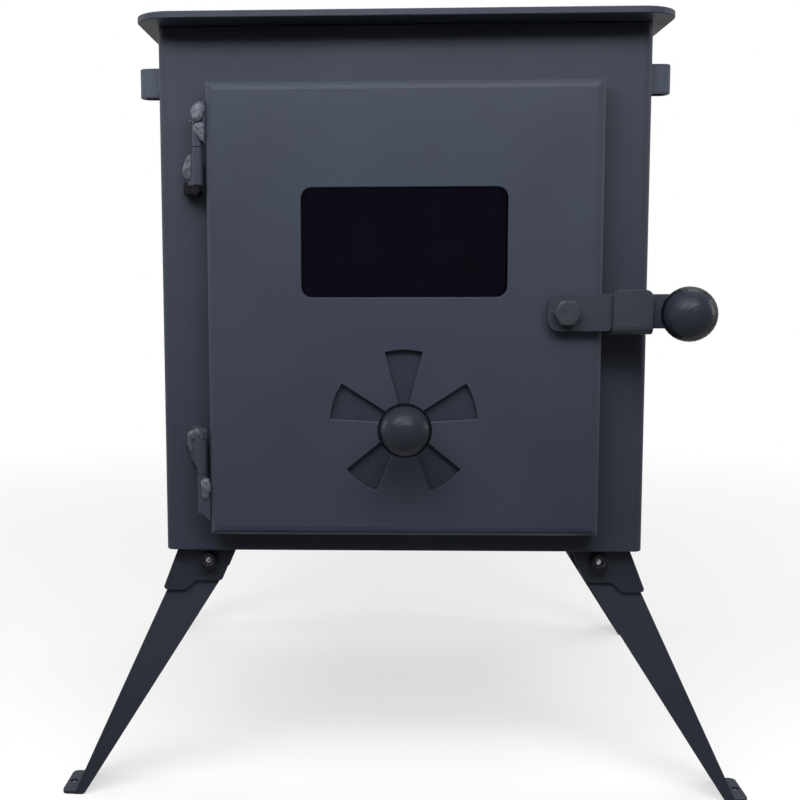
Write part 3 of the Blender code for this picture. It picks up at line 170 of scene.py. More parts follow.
def add_floor():
    """Pale floor: partly self-lit for the camera, so it is white round a soft grey shadow."""
    mesh = bpy.data.meshes.new("floor")
    r = FLOOR_REACH
    mesh.from_pydata([(-r, -r, 0), (r, -r, 0), (r, r, 0), (-r, r, 0)], [], [(0, 1, 2, 3)])
    floor = bpy.data.objects.new("floor", mesh)
    bpy.context.scene.collection.objects.link(floor)
    material = bpy.data.materials.new("floor")
    material.use_nodes = True
    tree = material.node_tree
    shader = tree.nodes["Principled BSDF"]
    shader.inputs["Roughness"].default_value = 0.9
    shader.inputs["Specular IOR Level"].default_value = 0.0
    seen = seen_share(tree)
    tone = tree.nodes.new("ShaderNodeMix")
    tone.data_type = "RGBA"
    tone.inputs["A"].default_value = (FLOOR_BOUNCE, FLOOR_BOUNCE, FLOOR_BOUNCE, 1)
    tone.inputs["B"].default_value = (1, 1, 1, 1)
    link(tree, seen, tone.inputs["Factor"])
    link(tree, tone.outputs["Result"], shader.inputs["Base Color"])
    glow = tree.nodes.new("ShaderNodeEmission")
    place = tree.nodes.new("ShaderNodeTexCoord")
    distance = tree.nodes.new("ShaderNodeVectorMath")
    distance.operation = "LENGTH"
    link(tree, place.outputs["Object"], distance.inputs[0])
    fade = tree.nodes.new("ShaderNodeMapRange")
    fade.inputs["From Min"].default_value = FLOOR_WHITE_FROM
    fade.inputs["From Max"].default_value = FLOOR_WHITE_TO
    fade.inputs["To Min"].default_value = FLOOR_LIFT
    fade.inputs["To Max"].default_value = 1.0
    link(tree, distance.outputs["Value"], fade.inputs["Value"])
    share = tree.nodes.new("ShaderNodeMath")
    share.operation = "MULTIPLY"
    link(tree, seen, share.inputs[0])
    link(tree, fade.outputs["Result"], share.inputs[1])
    mix = tree.nodes.new("ShaderNodeMixShader")
    link(tree, share.outputs[0], mix.inputs["Fac"])
    link(tree, shader.outputs[0], mix.inputs[1])
    link(tree, glow.outputs[0], mix.inputs[2])
    link(tree, mix.outputs[0], tree.nodes["Material Output"].inputs["Surface"])
    mesh.materials.append(material)


def add_studio():
    """Background, floor and lamps."""
    add_world()
    add_floor()
    for lamp in LAMPS:
        add_lamp(*lamp)


# Materials

# Near black: blackened steel, and painted shade on the upper hinge leaf's foot and on the leg screws'
# heads
BLACK_STEEL_AND_SHADE = (0.003, 0.0035, 0.005)


class Nodes:
    """Short calls for building a material's nodes."""

    def __init__(self, name):
        self.material = bpy.data.materials.new(name)
        self.material.use_nodes = True
        self.tree = self.material.node_tree
        self.shader = self.tree.nodes["Principled BSDF"]
        self.object_place = self.add("ShaderNodeTexCoord").outputs["Object"]

    def add(self, kind, **values):
        """New node with these settings."""
        node = self.tree.nodes.new(kind)
        for key, value in values.items():
            setattr(node, key, value)
        return node

    def set(self, **values):
        """Fixed values on the shader's own inputs."""
        for key, value in values.items():
            self.shader.inputs[key.replace("_", " ")].default_value = value

    def wire(self, source, target):
        """Join an output to an input."""
        self.tree.links.new(source, target)

    def axes(self):
        """X, Y and Z of the place on the object."""
        node = self.add("ShaderNodeSeparateXYZ")
        self.wire(self.object_place, node.inputs[0])
        return node.outputs

    def noise(self, scale, detail):
        """Cloudy noise in the object's own space."""
        node = self.add("ShaderNodeTexNoise")
        node.inputs["Scale"].default_value = scale
        node.inputs["Detail"].default_value = detail
        node.inputs["Roughness"].default_value = 0.55
        self.wire(self.object_place, node.inputs["Vector"])
        return node.outputs["Fac"]

    def ramp(self, value, *stops):
        """Stops are (place, grey or colour)."""
        node = self.add("ShaderNodeValToRGB")
        elements = node.color_ramp.elements
        while len(elements) < len(stops):
            elements.new(0.5)
        for element, (place, tone) in zip(elements, stops):
            element.position = place
            element.color = (*tone, 1) if isinstance(tone, tuple) else (tone, tone, tone, 1)
        self.wire(value, node.inputs["Fac"])
        return node.outputs["Color"]

    def mix(self, factor, first, second):
        """Blend of two colours. Each may be fixed or come from a node."""
        node = self.add("ShaderNodeMix", data_type="RGBA")
        for key, value in (("Factor", factor), ("A", first), ("B", second)):
            if isinstance(value, tuple):
                node.inputs[key].default_value = (*value, 1)
            else:
                self.wire(value, node.inputs[key])
        return node.outputs["Result"]

    def maths(self, operation, *values):
        """Sum, product or the like. Each value may be fixed or come from a node."""
        node = self.add("ShaderNodeMath", operation=operation)
        for slot, value in zip(node.inputs, values):
            if isinstance(value, (float, int)):
                slot.default_value = value
            else:
                self.wire(value, slot)
        return node.outputs[0]

    def edge_wear_and_highlight(self, radius):
        """1 on sharp outer and inner edges, 0 on the flats, from the bevelled normal."""
        bevel = self.add("ShaderNodeBevel", samples=4)
        bevel.inputs["Radius"].default_value = radius
        plain = self.add("ShaderNodeNewGeometry").outputs["Normal"]
        dot = self.add("ShaderNodeVectorMath", operation="DOT_PRODUCT")
        self.wire(bevel.outputs["Normal"], dot.inputs[0])
        self.wire(plain, dot.inputs[1])
        return self.maths("SUBTRACT", 1.0, dot.outputs["Value"])

    def bump(self, height, strength, distance, under=None):
        """Normal that shows this height, over the bump that lies under it."""
        node = self.add("ShaderNodeBump")
        node.inputs["Strength"].default_value = strength
        node.inputs["Distance"].default_value = distance
        self.wire(height, node.inputs["Height"])
        if under:
            self.wire(under, node.inputs["Normal"])
        return node.outputs["Normal"]


def stove_paint(name, colour, roughness, grain=1.0, shade_below=None):
    """Heat-proof matt paint: faint cloudiness, fine orange peel and slightly paler edges, partly wear and
    partly painted highlight.

    Where shade_below is given, the paint is painted near black below that height, with a ragged edge and
    less shine: painted shade.
    """
    n = Nodes(name)
    cloud = n.noise(9.0, 4.0)
    dark = tuple(0.90 * c for c in colour)
    pale = tuple(1.12 * c for c in colour)
    body = n.mix(n.ramp(cloud, (0.3, 0.0), (0.7, 1.0)), dark, pale)
    # Paler edges: partly paint wear, partly painted highlight
    edge = n.ramp(n.edge_wear_and_highlight(0.0008), (0.02, 0.0), (0.28, 1.0))
    worn_and_highlit = n.mix(n.maths("MULTIPLY", edge, 0.55), body, tuple(2.1 * c for c in colour))
    if shade_below:
        # Painted shade: near black below shade_below, with a ragged edge
        ragged = n.maths("MULTIPLY_ADD", n.noise(700.0, 2.0), 0.0016, n.axes()["Z"])
        shaded = n.add("ShaderNodeMapRange")
        shaded.inputs["From Min"].default_value = shade_below
        shaded.inputs["From Max"].default_value = shade_below - 0.0008
        n.wire(ragged, shaded.inputs["Value"])
        worn_and_highlit = n.mix(shaded.outputs["Result"], worn_and_highlit, BLACK_STEEL_AND_SHADE)
        shine = n.ramp(shaded.outputs["Result"], (0.0, 0.10), (1.0, 0.02))
        n.wire(shine, n.shader.inputs["Specular IOR Level"])
    n.wire(worn_and_highlit, n.shader.inputs["Base Color"])
    patch = n.noise(28.0, 2.0)
    low, high = roughness - 0.05, roughness + 0.05
    n.wire(n.ramp(patch, (0.3, low), (0.7, high)), n.shader.inputs["Roughness"])
    peel = n.bump(n.noise(900.0, 2.0), 0.10 * grain, 0.0003)
    n.wire(n.bump(n.noise(110.0, 2.0), 0.10 * grain, 0.0006, peel), n.shader.inputs["Normal"])
    n.set(Specular_IOR_Level=0.10)
    return n.material


def fastener_paint():
    """Nuts and washers: painted over, a little glossier, paler on their edges: partly rubbed bright,
    partly painted highlight.
    """
    n = Nodes("fastener")
    colour = (0.022, 0.025, 0.033)
    tone = n.mix(n.ramp(n.noise(160.0, 3.0), (0.35, 0.0), (0.7, 1.0)), colour, (0.041, 0.045, 0.057))
    # Paler edges: partly rubbed bright, partly painted highlight
    edge = n.ramp(n.edge_wear_and_highlight(0.0006), (0.03, 0.0), (0.3, 1.0))
    worn_and_highlit = n.mix(n.maths("MULTIPLY", edge, 0.7), tone, (0.12, 0.125, 0.14))
    n.wire(worn_and_highlit, n.shader.inputs["Base Color"])
    n.set(Specular_IOR_Level=0.15)
    n.wire(n.ramp(n.noise(240.0, 2.0), (0.3, 0.34), (0.7, 0.48)), n.shader.inputs["Roughness"])
    n.wire(n.bump(n.noise(700.0, 2.0), 0.2, 0.0002), n.shader.inputs["Normal"])
    return n.material


def screw_steel():
    """Leg screws: blackened steel with painted light in rings about the axis: metal inside the socket
    painted bright as a glint, painted highlight round the socket's mouth and at the flange's outer edge,
    and painted shade, near black, between them.
    """
    n = Nodes("leg_screw")
    low, high = edges("leg_screw_front_right")
    place = n.axes()
    across = n.maths("SUBTRACT", n.maths("ABSOLUTE", place["X"]), float(low[0] + high[0]) / 2)
    upward = n.maths("SUBTRACT", place["Z"], float(low[2] + high[2]) / 2)
    squares = n.maths("ADD", n.maths("MULTIPLY", across, across), n.maths("MULTIPLY", upward, upward))
    share = n.maths("DIVIDE", n.maths("SQRT", squares), float(high[0] - low[0]) / 2)
    ring_highlight, bare_and_glint = (0.060, 0.066, 0.080), (0.50, 0.51, 0.54)
    # Painted light: a glint inside the socket, painted shade round it, a highlight ring at the socket's
    # mouth, painted shade over head and flange, a highlight at the flange's outer edge
    socket = ((0.22, bare_and_glint), (0.30, BLACK_STEEL_AND_SHADE))
    rings = ((0.40, ring_highlight), (0.50, ring_highlight), (0.56, BLACK_STEEL_AND_SHADE), (0.92, BLACK_STEEL_AND_SHADE), (0.98, ring_highlight))
    tone = n.ramp(share, *socket, *rings)
    grime = n.ramp(n.noise(620.0, 3.0), (0.42, 0.0), (0.58, 0.9))
    n.wire(n.mix(grime, tone, BLACK_STEEL_AND_SHADE), n.shader.inputs["Base Color"])
    n.wire(n.ramp(share, (0.24, 0.9), (0.32, 0.1)), n.shader.inputs["Metallic"])
    n.wire(n.ramp(n.noise(240.0, 2.0), (0.3, 0.30), (0.7, 0.44)), n.shader.inputs["Roughness"])
    n.wire(n.bump(n.noise(700.0, 2.0), 0.2, 0.0002), n.shader.inputs["Normal"])
    n.set(Specular_IOR_Level=0.10)
    return n.material


def inner_steel():
    """Paint inside the firebox, dulled and stained brown by heat."""
    n = Nodes("inner_steel")
    stain = n.ramp(n.noise(14.0, 5.0), (0.35, (0.040, 0.041, 0.045)), (0.68, (0.075, 0.060, 0.050)))
    dust = n.ramp(n.noise(220.0, 3.0), (0.45, 0.0), (0.75, 1.0))
    colour = n.mix(n.maths("MULTIPLY", dust, 0.25), stain, (0.16, 0.15, 0.145))
    n.wire(colour, n.shader.inputs["Base Color"])
    n.wire(n.ramp(n.noise(40.0, 3.0), (0.3, 0.62), (0.7, 0.85)), n.shader.inputs["Roughness"])
    n.wire(n.bump(n.noise(420.0, 4.0), 0.25, 0.0004), n.shader.inputs["Normal"])
    n.set(Specular_IOR_Level=0.20)
    return n.material


def weld_paint(name, level, shine=0.22):
    """Weld beads under paint: the same slate times level, with pits and small shiny crowns, whose paler
    colour is partly a painted highlight.
    """
    n = Nodes(name)
    dark = tuple(level * c for c in (0.046, 0.053, 0.072))
    pale = tuple(level * c for c in (0.128, 0.142, 0.178))
    # Pale speckles: partly tone of the bead, partly painted highlight on its crowns
    tone = n.ramp(n.noise(520.0, 3.0), (0.3, dark), (0.75, pale))
    n.wire(tone, n.shader.inputs["Base Color"])
    n.wire(n.ramp(n.noise(380.0, 2.0), (0.3, 0.32), (0.7, 0.52)), n.shader.inputs["Roughness"])
    n.wire(n.bump(n.noise(950.0, 3.0), 0.5, 0.0005), n.shader.inputs["Normal"])
    n.set(Specular_IOR_Level=shine)
    return n.material


def knob_gloss():
    """Polished black plastic: its colour is painted darker towards its outline, a painted reflection of
    the dark door.
    """
    n = Nodes("knob_gloss")
    middle = n.ramp(n.noise(60.0, 2.0), (0.3, (0.0140, 0.0175, 0.0260)), (0.7, (0.0170, 0.0210, 0.0310)))
    weight = n.add("ShaderNodeLayerWeight")
    # Painted reflection: darker colour towards the outline, where the knob would mirror the dark door
    rim_reflection = n.ramp(weight.outputs["Facing"], (0.50, 0.0), (0.60, 1.0))
    n.wire(n.mix(rim_reflection, middle, (0.0030, 0.0036, 0.0052)), n.shader.inputs["Base Color"])
    n.wire(n.ramp(n.noise(45.0, 2.0), (0.35, 0.27), (0.75, 0.33)), n.shader.inputs["Roughness"])
    n.wire(n.ramp(rim_reflection, (0.0, 0.10), (1.0, 0.03)), n.shader.inputs["Specular IOR Level"])
    return n.material


def stove_glass():
    """Clear ceramic glass with a faint violet tint and a breath of soot."""
    n = Nodes("stove_glass")
    soot = n.ramp(n.noise(35.0, 4.0), (0.4, (0.32, 0.30, 0.36)), (0.7, (0.21, 0.20, 0.23)))
    n.wire(soot, n.shader.inputs["Base Color"])
    n.wire(n.ramp(n.noise(80.0, 3.0), (0.4, 0.03), (0.8, 0.09)), n.shader.inputs["Roughness"])
    n.set(Transmission_Weight=1.0, IOR=1.35, Specular_Tint=(0.16, 0.14, 0.26, 1))
    return n.material


def rope_fibre():
    """Glass fibre rope: grey yarn with fine threads across each strand."""
    n = Nodes("rope_fibre")
    yarn = n.ramp(n.noise(700.0, 4.0), (0.3, (0.20, 0.19, 0.175)), (0.7, (0.42, 0.405, 0.37)))
    smoke = n.ramp(n.noise(22.0, 3.0), (0.35, 0.0), (0.7, 0.7))
    n.wire(n.mix(smoke, yarn, (0.11, 0.10, 0.09)), n.shader.inputs["Base Color"])
    n.wire(n.bump(n.noise(1600.0, 2.0), 0.7, 0.0004), n.shader.inputs["Normal"])
    n.set(Roughness=0.92, Sheen_Weight=0.3)
    return n.material


# Surfaces worked out on a grid


def turn_angles(count):
    """Even angles of one full turn, as a row."""
    return (np.arange(count) / count * TAU)[None, :]


def surface_piece(name, places, faces, material, body):
    """Smooth piece of these corners and faces, with its faces pointing outwards."""
    mesh = bpy.data.meshes.new(name)
    mesh.from_pydata(places.tolist(), [], faces)
    mesh.update()
    mesh.shade_smooth()
    mesh.materials.append(material)
    piece = bpy.data.objects.new(name, mesh)
    bpy.context.scene.collection.objects.link(piece)
    if signed_volume(places, faces) < 0:
        mesh.flip_normals()
    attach(piece, body)
    return piece


def capped_piece(name, points, material, body):
    """Closed piece of a (rows, columns, 3) grid whose rows run along it and columns round it.

    The first and last rows are each closed by a fan to their middle point.
    """
    rows, columns = points.shape[:2]
    index = np.arange(rows * columns).reshape(rows, columns)
    beside = np.roll(index, -1, axis=1)
    quads = np.stack([index[:-1], beside[:-1], beside[1:], index[1:]], axis=-1).reshape(-1, 4)
    ends = np.stack([points[0].mean(axis=0), points[-1].mean(axis=0)])
    places = np.concatenate([points.reshape(-1, 3), ends])
    first, last = rows * columns, rows * columns + 1
    front = np.stack([np.full(columns, first), beside[0], index[0]], axis=-1)
    back = np.stack([np.full(columns, last), index[-1], beside[-1]], axis=-1)
    faces = quads.tolist() + front.tolist() + back.tolist()
    return surface_piece(name, places, faces, material, body)


def ring_piece(name, points, material, body):
    """Piece of a (rows, columns, 3) grid that closes on itself both ways, like a torus."""
    rows, columns = points.shape[:2]
    index = np.arange(rows * columns).reshape(rows, columns)
    below = np.roll(index, -1, axis=0)
    quads = np.stack([index, np.roll(index, -1, 1), np.roll(below, -1, 1), below], -1).reshape(-1, 4)
    return surface_piece(name, points.reshape(-1, 3), quads.tolist(), material, body)


def signed_volume(places, faces):
    """Sum over all triangles of the box product of their corners, over six."""
    quads = np.array([f for f in faces if len(f) == 4], dtype=int).reshape(-1, 4)
    threes = np.array([f for f in faces if len(f) == 3], dtype=int).reshape(-1, 3)
    triangles = np.concatenate([quads[:, [0, 1, 2]], quads[:, [0, 2, 3]], threes])
    a, b, c = (places[triangles[:, k]] for k in range(3))
    return float(np.einsum("ij,ij->i", a, np.cross(b, c)).sum() / 6)


def resample(points, count):
    """Points at equal steps of length along a polyline, and its length."""
    points = np.asarray(points, dtype=float)
    length = np.concatenate([[0], np.cumsum(np.linalg.norm(np.diff(points, axis=0), axis=1))])
    at = np.linspace(0, length[-1], count)
    return np.stack([np.interp(at, length, points[:, k]) for k in range(3)], axis=1), length[-1]


def tangents(path, closed=False):
    """Unit tangents of a path, one at each of its points."""
    if closed:
        tangent = np.roll(path, -1, axis=0) - np.roll(path, 1, axis=0)
    else:
        tangent = np.gradient(path, axis=0)
    tangent /= np.linalg.norm(tangent, axis=1, keepdims=True)
    return tangent


def lumps(points, seed, size):
    """Mean of four slanted sine waves of place, of lengths from size to twice size."""
    total = 0.0
    for k in range(4):
        a = seed + 2.4 * k
        way = np.array([math.sin(a), math.sin(2.3 * a + 1), math.cos(1.7 * a)])
        way /= np.linalg.norm(way)
        total = total + np.sin(TAU * (points @ way) / (size * (1 + k / 3)) + 3.1 * a)
    return total / 4


# Weld beads: grid, then lengths of lumps and ripples in radii, and the ripples' share of the lumps
BEAD_ROWS = 110
BEAD_SIDES = 36
LUMP_LENGTH = 1.9
RIPPLE_LENGTH = 0.55
RIPPLE_SHARE = 0.45
END_FULLNESS = 1.3


def weld_bead(name, corners, radii, normal, body, seed, flat=0.75, rough=0.28, finish="weld"):
    """A weld bead: a circle carried along the path through corners.

    Its radius goes through radii, evenly spread over the path, and closes at the ends as the
    square root of one minus a power of the distance from the middle. It is squashed by flat
    along the surface's normal, then pushed in and out by slow lumps and by fine ripples.
    """
    path, length = resample(corners, BEAD_ROWS)
    along = tangents(path)
    up = np.asarray(normal, dtype=float)
    up = up / np.linalg.norm(up)
    side = np.cross(along, up)
    side /= np.linalg.norm(side, axis=1, keepdims=True)
    rise = np.cross(side, along)
    t = np.linspace(0, 1, BEAD_ROWS)
    v = turn_angles(BEAD_SIDES)
    radius = np.interp(t, np.linspace(0, 1, len(radii)), radii)
    power = max(2.0, END_FULLNESS * length / max(radii))
    taper = np.sqrt(np.clip(1 - np.abs(2 * t - 1) ** power, 0, 1))
    spoke = side[:, None, :] * np.cos(v)[..., None] + rise[:, None, :] * (flat * np.sin(v))[..., None]
    reach = (radius * taper)[:, None, None]
    grid = path[:, None, :] + spoke * reach
    slow = lumps(grid, seed, LUMP_LENGTH * max(radii))
    fine = lumps(grid, seed + 7, RIPPLE_LENGTH * max(radii))
    swell = 1 + rough * slow + RIPPLE_SHARE * rough * fine
    points = path[:, None, :] + spoke * reach * swell[..., None]
    return capped_piece(name, points, MATERIALS[finish], body)


# Threads of 6 mm screws
THREAD_CORE = 0.00302
THREAD_DEPTH = 0.00012
THREAD_PITCH = 0.001
THREAD_SIDES = 32
THREAD_FADE = 0.6
NUT_GAP = 0.0002
THREAD_PAST_END = 0.0001


def thread(name, start, way, length, body):
    """Screw thread along Y: radius is a triangle wave of height / pitch minus the turn angle."""
    rows = max(12, int(length / THREAD_PITCH * 10))
    y = np.linspace(0, length, rows)[:, None]
    v = turn_angles(THREAD_SIDES)
    phase = np.mod(y / THREAD_PITCH - v / TAU, 1.0)
    ridge = 1 - np.abs(2 * phase - 1)
    ends = np.clip(np.minimum(y, length - y) / (THREAD_FADE * THREAD_PITCH), 0, 1)
    r = THREAD_CORE + THREAD_DEPTH * ridge * ends
    points = np.stack([start[0] + r * np.cos(v), start[1] + way * y + 0 * v, start[2] + r * np.sin(v)], -1)
    return capped_piece(name, points, MATERIALS["fastener"], body)


# Pieces


LEGS = ("front_left", "front_right", "rear_left", "rear_right")
MM = 0.001


def box_middle(node):
    """Middle of a CAD node's box."""
    low, high = edges(node)
    return (low + high) / 2


def hinge_weld(name, leaf, end, body, seed, corners, radii, finish="weld"):
    """Bead from one end of a hinge leaf, through corners given in millimetres.

    Each corner is how far it lies right of the pin, in front of the body, and from the leaf's
    end, top or foot, towards the leaf's middle. The radii along the bead are in millimetres.
    """
    low, high = edges("hinge_" + leaf)
    pin = box_middle("hinge_" + leaf.split("_")[0] + "_pin")[0]
    start, way = (high[2], -1) if end == "top" else (low[2], 1)
    path = [(pin + x * MM, FRONT_Y - y * MM, start + way * z * MM) for x, y, z in corners]
    weld_bead("weld_hinge_" + name, path, [r * MM for r in radii], (0, -1, 0), body, seed, finish=finish)


def add_hinge_welds():
    """Lumpy beads that tie the hinge leaves to the body's front and to the door's edge."""
    hinge_weld(
        "upper_body", "upper_body", "foot", "firebox", 1.3,
        ((-4.6, 7.0, 23.2), (-5.6, 5.8, 16.6), (-5.4, 5.6, 8.2)), (2.8, 4.4, 3.6),
    )
    hinge_weld(
        "upper_door", "upper_door", "top", "door", 3.4,
        ((2.6, 16.0, 0.8), (1.1, 16.2, 6.8), (-0.2, 16.2, 12.4)), (2.6, 3.9, 3.3),
    )
    hinge_weld(
        "lower_body", "lower_body", "top", "firebox", 5.5,
        ((0.6, 14.0, 2.4), (-3.0, 9.6, 3.0), (-6.6, 4.4, 6.2), (-7.8, 2.8, 11.2), (-7.0, 2.4, 17.4)),
        (2.4, 3.1, 3.7, 2.9, 1.5),
    )
    hinge_weld(
        "lower_door", "lower_door", "foot", "door", 7.6,
        ((2.6, 16.0, 25.2), (2.4, 16.3, 19.0), (1.9, 16.0, 12.4)), (2.5, 2.9, 2.2),
    )
    hinge_weld(
        "upper_run", "upper_door", "top", "door", 5.2,
        ((0.6, 16.2, 12.4), (2.0, 16.4, 17.2), (3.7, 16.4, 23.0)), (3.5, 2.6, 1.1),
    )
    hinge_weld(
        "upper_tail", "upper_body", "foot", "firebox", 9.4,
        ((-8.8, 3.2, 7.4), (-6.6, 4.0, 3.6), (-2.2, 9.8, 2.0), (2.0, 13.8, 2.6)), (2.5, 3.4, 3.2, 2.7),
        # Near-black finish: painted shade on the tail bead, where the leaf's foot lies in shadow
        finish="scale",
    )


VENT_RING_RADIUS = 0.0262
VENT_RING_WIRE = 0.00022


def add_vent_ring():
    """Faint raised ring pressed into the damper disc, seen through the vent's openings.

    It is a torus: a small circle carried round a large one.
    """
    front = edges("vent_disc")[0][1]
    centre = box_middle("vent_disc")
    t = turn_angles(180).T
    v = turn_angles(8)
    ring = VENT_RING_RADIUS + VENT_RING_WIRE * np.cos(v)
    x = centre[0] + ring * np.cos(t)
    y = front + VENT_RING_WIRE * np.sin(v) + 0 * t
    z = centre[2] + ring * np.sin(t)
    # The ring takes the damper's darker paint, painted shade
    ring_piece("vent_disc_ring", np.stack([x, y, z], -1), MATERIALS["damper"], "vent")


# Drops of weld metal: right of the upper pin, above the door leaf's top, radius
SPATTER = ((-0.006, -0.010, 0.0008), (-0.0105, -0.033, 0.0004))


def add_spatter():
    """Small drops of weld metal that stuck to the body beside the upper hinge.

    Each is a ball from pole to pole, a little flattened towards the body.
    """
    pin = box_middle("hinge_upper_pin")
    top = edges("hinge_upper_door")[1][2]
    for k, (dx, dz, r) in enumerate(SPATTER):
        centre = np.array([pin[0] + dx, FRONT_Y, top + dz])
        a = np.linspace(0.02, math.pi - 0.02, 10)[:, None]
        v = turn_angles(14)
        x = centre[0] + r * np.sin(a) * np.cos(v)
        z = centre[2] + r * np.sin(a) * np.sin(v)
        y = centre[1] - 0.25 * r - 0.8 * r * np.cos(a) + 0 * v
        points = np.stack([x, y, z], -1)
        capped_piece("spatter_%d" % (k + 1), points, MATERIALS["weld"], "firebox")


LOOP_WELD = 0.0014
BRACKET_WELD = 0.0012
BRACKET_WELD_INSET = 0.15
WELD_FROM_END = 0.001


def add_loop_welds():
    """Two short beads at each side loop, where its two legs meet the side."""
    for where in LEGS:
        low, high = edges("shelf_loop_" + where)
        side = -1 if "left" in where else 1
        x = low[0] if side > 0 else high[0]
        for k, y in enumerate((low[1], high[1])):
            name = "weld_loop_%s_%d" % (where, k + 1)
            path = [(x, y, low[2] + WELD_FROM_END), (x, y, high[2] - WELD_FROM_END)]
            weld_bead(name, path, (LOOP_WELD, LOOP_WELD), (side, 0, 0), "firebox", k + 3 * side)


def add_bracket_welds():
    """Beads along the top of both ears of every leg bracket, under the base."""
    for where in LEGS:
        low, high = edges("leg_bracket_" + where)
        side = -1 if "left" in where else 1
        inset = BRACKET_WELD_INSET * (high[0] - low[0])
        near, far = (inset, 2 * inset) if side > 0 else (2 * inset, inset)
        for k, y in enumerate((low[1], high[1])):
            name = "weld_bracket_%s_%d" % (where, k + 1)
            path = [(low[0] + near, y, high[2]), (high[0] - far, y, high[2])]
            weld_bead(name, path, (BRACKET_WELD, BRACKET_WELD), (0, 0, -1), "firebox", k + 2.0)


# Keeper welds: radius, height above the keeper's foot, distance from its sides, seed
KEEPER_WELDS = {
    "below": (0.0017, 0.0002, 0.001, 0.7),
    "above": (0.0014, 0.003, 0.002, 2.9),
}
KEEPER_WELD_FORWARD = 0.0004


def add_keeper_welds():
    """Beads below and above the keeper's shelf, where it meets the body."""
    low, high = edges("latch_keeper")
    y = FRONT_Y - KEEPER_WELD_FORWARD
    for where, (radius, rise, inset, seed) in KEEPER_WELDS.items():
        path = [(low[0] + inset, y, low[2] + rise), (high[0] - inset, y, low[2] + rise)]
        weld_bead("weld_keeper_" + where, path, (radius, radius), (0, -1, 0), "firebox", seed)


COLLAR_WELD = 0.0019
COLLAR_WELD_OUT = 0.0004


def add_collar_weld():
    """Ring of weld round the foot of the flue collar.

    It is a torus whose small radius swells with three sine waves of the angles round it.
    """
    centre = box_middle("flue_collar")
    low, high = edges("flue_collar")
    radius = (high[0] - low[0]) / 2 + COLLAR_WELD_OUT
    t = turn_angles(360).T
    v = turn_angles(16)
    waves = 0.12 * np.sin(70 * t) + 0.10 * np.sin(23 * t + 1) + 0.08 * np.sin(3 * v + 12 * t)
    r = COLLAR_WELD * (1 + waves)
    ring = radius + r * np.cos(v)
    x = centre[0] + ring * np.cos(t)
    y = centre[1] + ring * np.sin(t)
    z = edges("top_plate")[1][2] + 0.7 * r * np.sin(v)
    ring_piece("weld_flue_collar", np.stack([x, y, z], -1), MATERIALS["weld"], "firebox")


ROPE_CORNER = 0.012
ROPE_TWIST = 0.011
ROPE_ROWS = 1500
ROPE_SIDES = 20
ROPE_CORNER_STEPS = 12


def add_rope():
    """Knitted rope seal: a round profile with four strands, carried round the door's groove.

    The radius is the rope's, dented by the cosine of four times the angle minus a twist that
    grows with the length travelled, and half as deep by one that twists the other way.
    """
    low, high = edges("door_rope")
    radius = (high[1] - low[1]) / 2
    middle_y = (low[1] + high[1]) / 2
    corner = ROPE_CORNER - radius / 4
    x0, x1 = low[0] + radius + corner, high[0] - radius - corner
    z0, z1 = low[2] + radius + corner, high[2] - radius - corner
    quarter = np.linspace(0, math.pi / 2, ROPE_CORNER_STEPS)
    level = np.full(ROPE_CORNER_STEPS, middle_y)
    legs = []
    for k, (x, z) in enumerate(((x1, z1), (x0, z1), (x0, z0), (x1, z0))):
        turn = quarter + k * math.pi / 2
        legs.append(np.stack([x + corner * np.cos(turn), level, z + corner * np.sin(turn)], 1))
    route = np.concatenate(legs + [legs[0][:1]])
    path, length = resample(route, ROPE_ROWS + 1)
    path = path[:-1]
    along = tangents(path, closed=True)
    depth = np.array([0.0, 1.0, 0.0])
    out = np.cross(along, depth)
    v = turn_angles(ROPE_SIDES)
    s = (np.arange(ROPE_ROWS) / ROPE_ROWS)[:, None]
    twists = round(length / ROPE_TWIST)
    strands = 0.10 * np.cos(4 * v - TAU * twists * s) + 0.05 * np.cos(4 * v + TAU * twists * s)
    r = 0.93 * radius * (0.93 + strands)
    grid = path[:, None, :] + out[:, None, :] * (r * np.cos(v))[..., None]
    grid = grid + depth * (r * np.sin(v))[..., None]
    rope = ring_piece("rope_seal", grid, MATERIALS["rope"], "door")
    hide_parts("door_rope")


def add_threads():
    """Threads on the free ends of the leg screws and of the vent's spindle, past their nuts."""
    for where in LEGS:
        low, high = edges("leg_screw_" + where)
        nut_low, nut_high = edges("leg_nut_" + where)
        x, _, z = box_middle("leg_screw_" + where)
        way = 1 if "front" in where else -1
        start = nut_high[1] + NUT_GAP if way > 0 else nut_low[1] - NUT_GAP
        length = (high[1] - start if way > 0 else start - low[1]) + THREAD_PAST_END
        thread("thread_screw_" + where, (x, start, z), way, length, "firebox")
    x, _, z = box_middle("vent_nut")
    start = edges("vent_nut")[1][1] + NUT_GAP
    thread("thread_spindle", (x, start, z), 1, edges("vent_spindle")[1][1] - start, "vent")
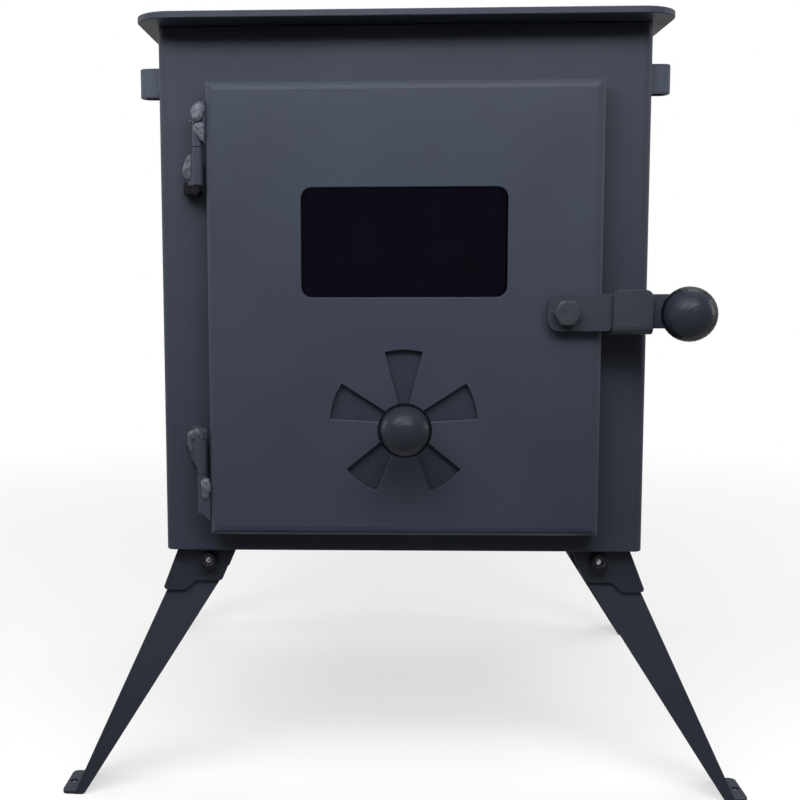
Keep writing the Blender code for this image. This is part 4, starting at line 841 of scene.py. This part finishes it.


# Finishes of the CAD nodes

# The upper hinge's body leaf gets painted shade, near black, up to here
PAINTED_SHADE_TOP = float(edges("hinge_upper_body")[0][2]) + 0.0069
MATERIALS = {
    "body": stove_paint("body_paint", (0.0290, 0.0345, 0.0490), 0.50),
    "door": stove_paint("door_paint", (0.0335, 0.0390, 0.0565), 0.46),
    # Upper hinge leaf: its foot gets painted shade, near black
    "hinge": stove_paint("hinge_painted_shade", (0.0290, 0.0345, 0.0490), 0.50, shade_below=PAINTED_SHADE_TOP),
    # Side loops: paler than the body paint, painted light
    "loop": stove_paint("loop_painted_light", (0.0460, 0.0540, 0.0760), 0.50),
    "latch": stove_paint("latch_paint", (0.0265, 0.0315, 0.0430), 0.48),
    # Damper disc: darker than the door paint, painted shade in the vent's recess
    "damper": stove_paint("damper_painted_shade", (0.0215, 0.0260, 0.0385), 0.50),
    "leg": stove_paint("leg_paint", (0.0262, 0.0308, 0.0425), 0.55, 1.3),
    # Leg brackets: darker than the leg paint, painted shade under the body's base
    "bracket": stove_paint("bracket_painted_shade", (0.0180, 0.0215, 0.0300), 0.52, 1.3),
    "fastener": fastener_paint(),
    "screw": screw_steel(),
    "inner": inner_steel(),
    "weld": weld_paint("weld", 0.80),
    # Near-black weld: painted shade
    "scale": weld_paint("weld_painted_shade", 0.06, 0.03),
    "knob": knob_gloss(),
    "glass": stove_glass(),
    "rope": rope_fibre(),
}
FINISH_OF_SLOT = {
    "body_paint": "body",
    "door_paint": "door",
    "leg_paint": "leg",
    "fastener_steel": "fastener",
    "inner_steel": "inner",
    "knob_plastic": "knob",
    "window_glass": "glass",
    "seal_rope": "rope",
}
# Nodes whose names start so have a finish of their own
FINISH_OF_NODE = {
    # darker paint: painted shade under the body's base
    "leg_bracket": "bracket",
    "leg_screw": "screw",
    # darker paint: painted shade in the vent's recess
    "vent_disc": "damper",
    # paler paint: painted light
    "shelf_loop": "loop",
    # its foot gets painted shade, near black
    "hinge_upper_body": "hinge",
    "latch_bar": "latch",
    "latch_keeper": "latch",
}


def finish_nodes():
    """Give every CAD node the material of its slot, or the one that its name calls for."""
    for row in frame["record"]["subparts"]:
        node = NODES[row["node"]]
        own = [finish for start, finish in FINISH_OF_NODE.items() if row["node"].startswith(start)]
        material = MATERIALS[own[0] if own else FINISH_OF_SLOT[row["material_slot"]]]
        if not node.material_slots:
            node.data.materials.append(material)
        for place in node.material_slots:
            place.material = material


add_camera()
add_studio()
finish_nodes()
add_hinge_welds()
add_spatter()
add_vent_ring()
add_loop_welds()
add_bracket_welds()
add_keeper_welds()
add_collar_weld()
add_rope()
add_threads()

scene = bpy.context.scene
scene.view_settings.view_transform = "Standard"
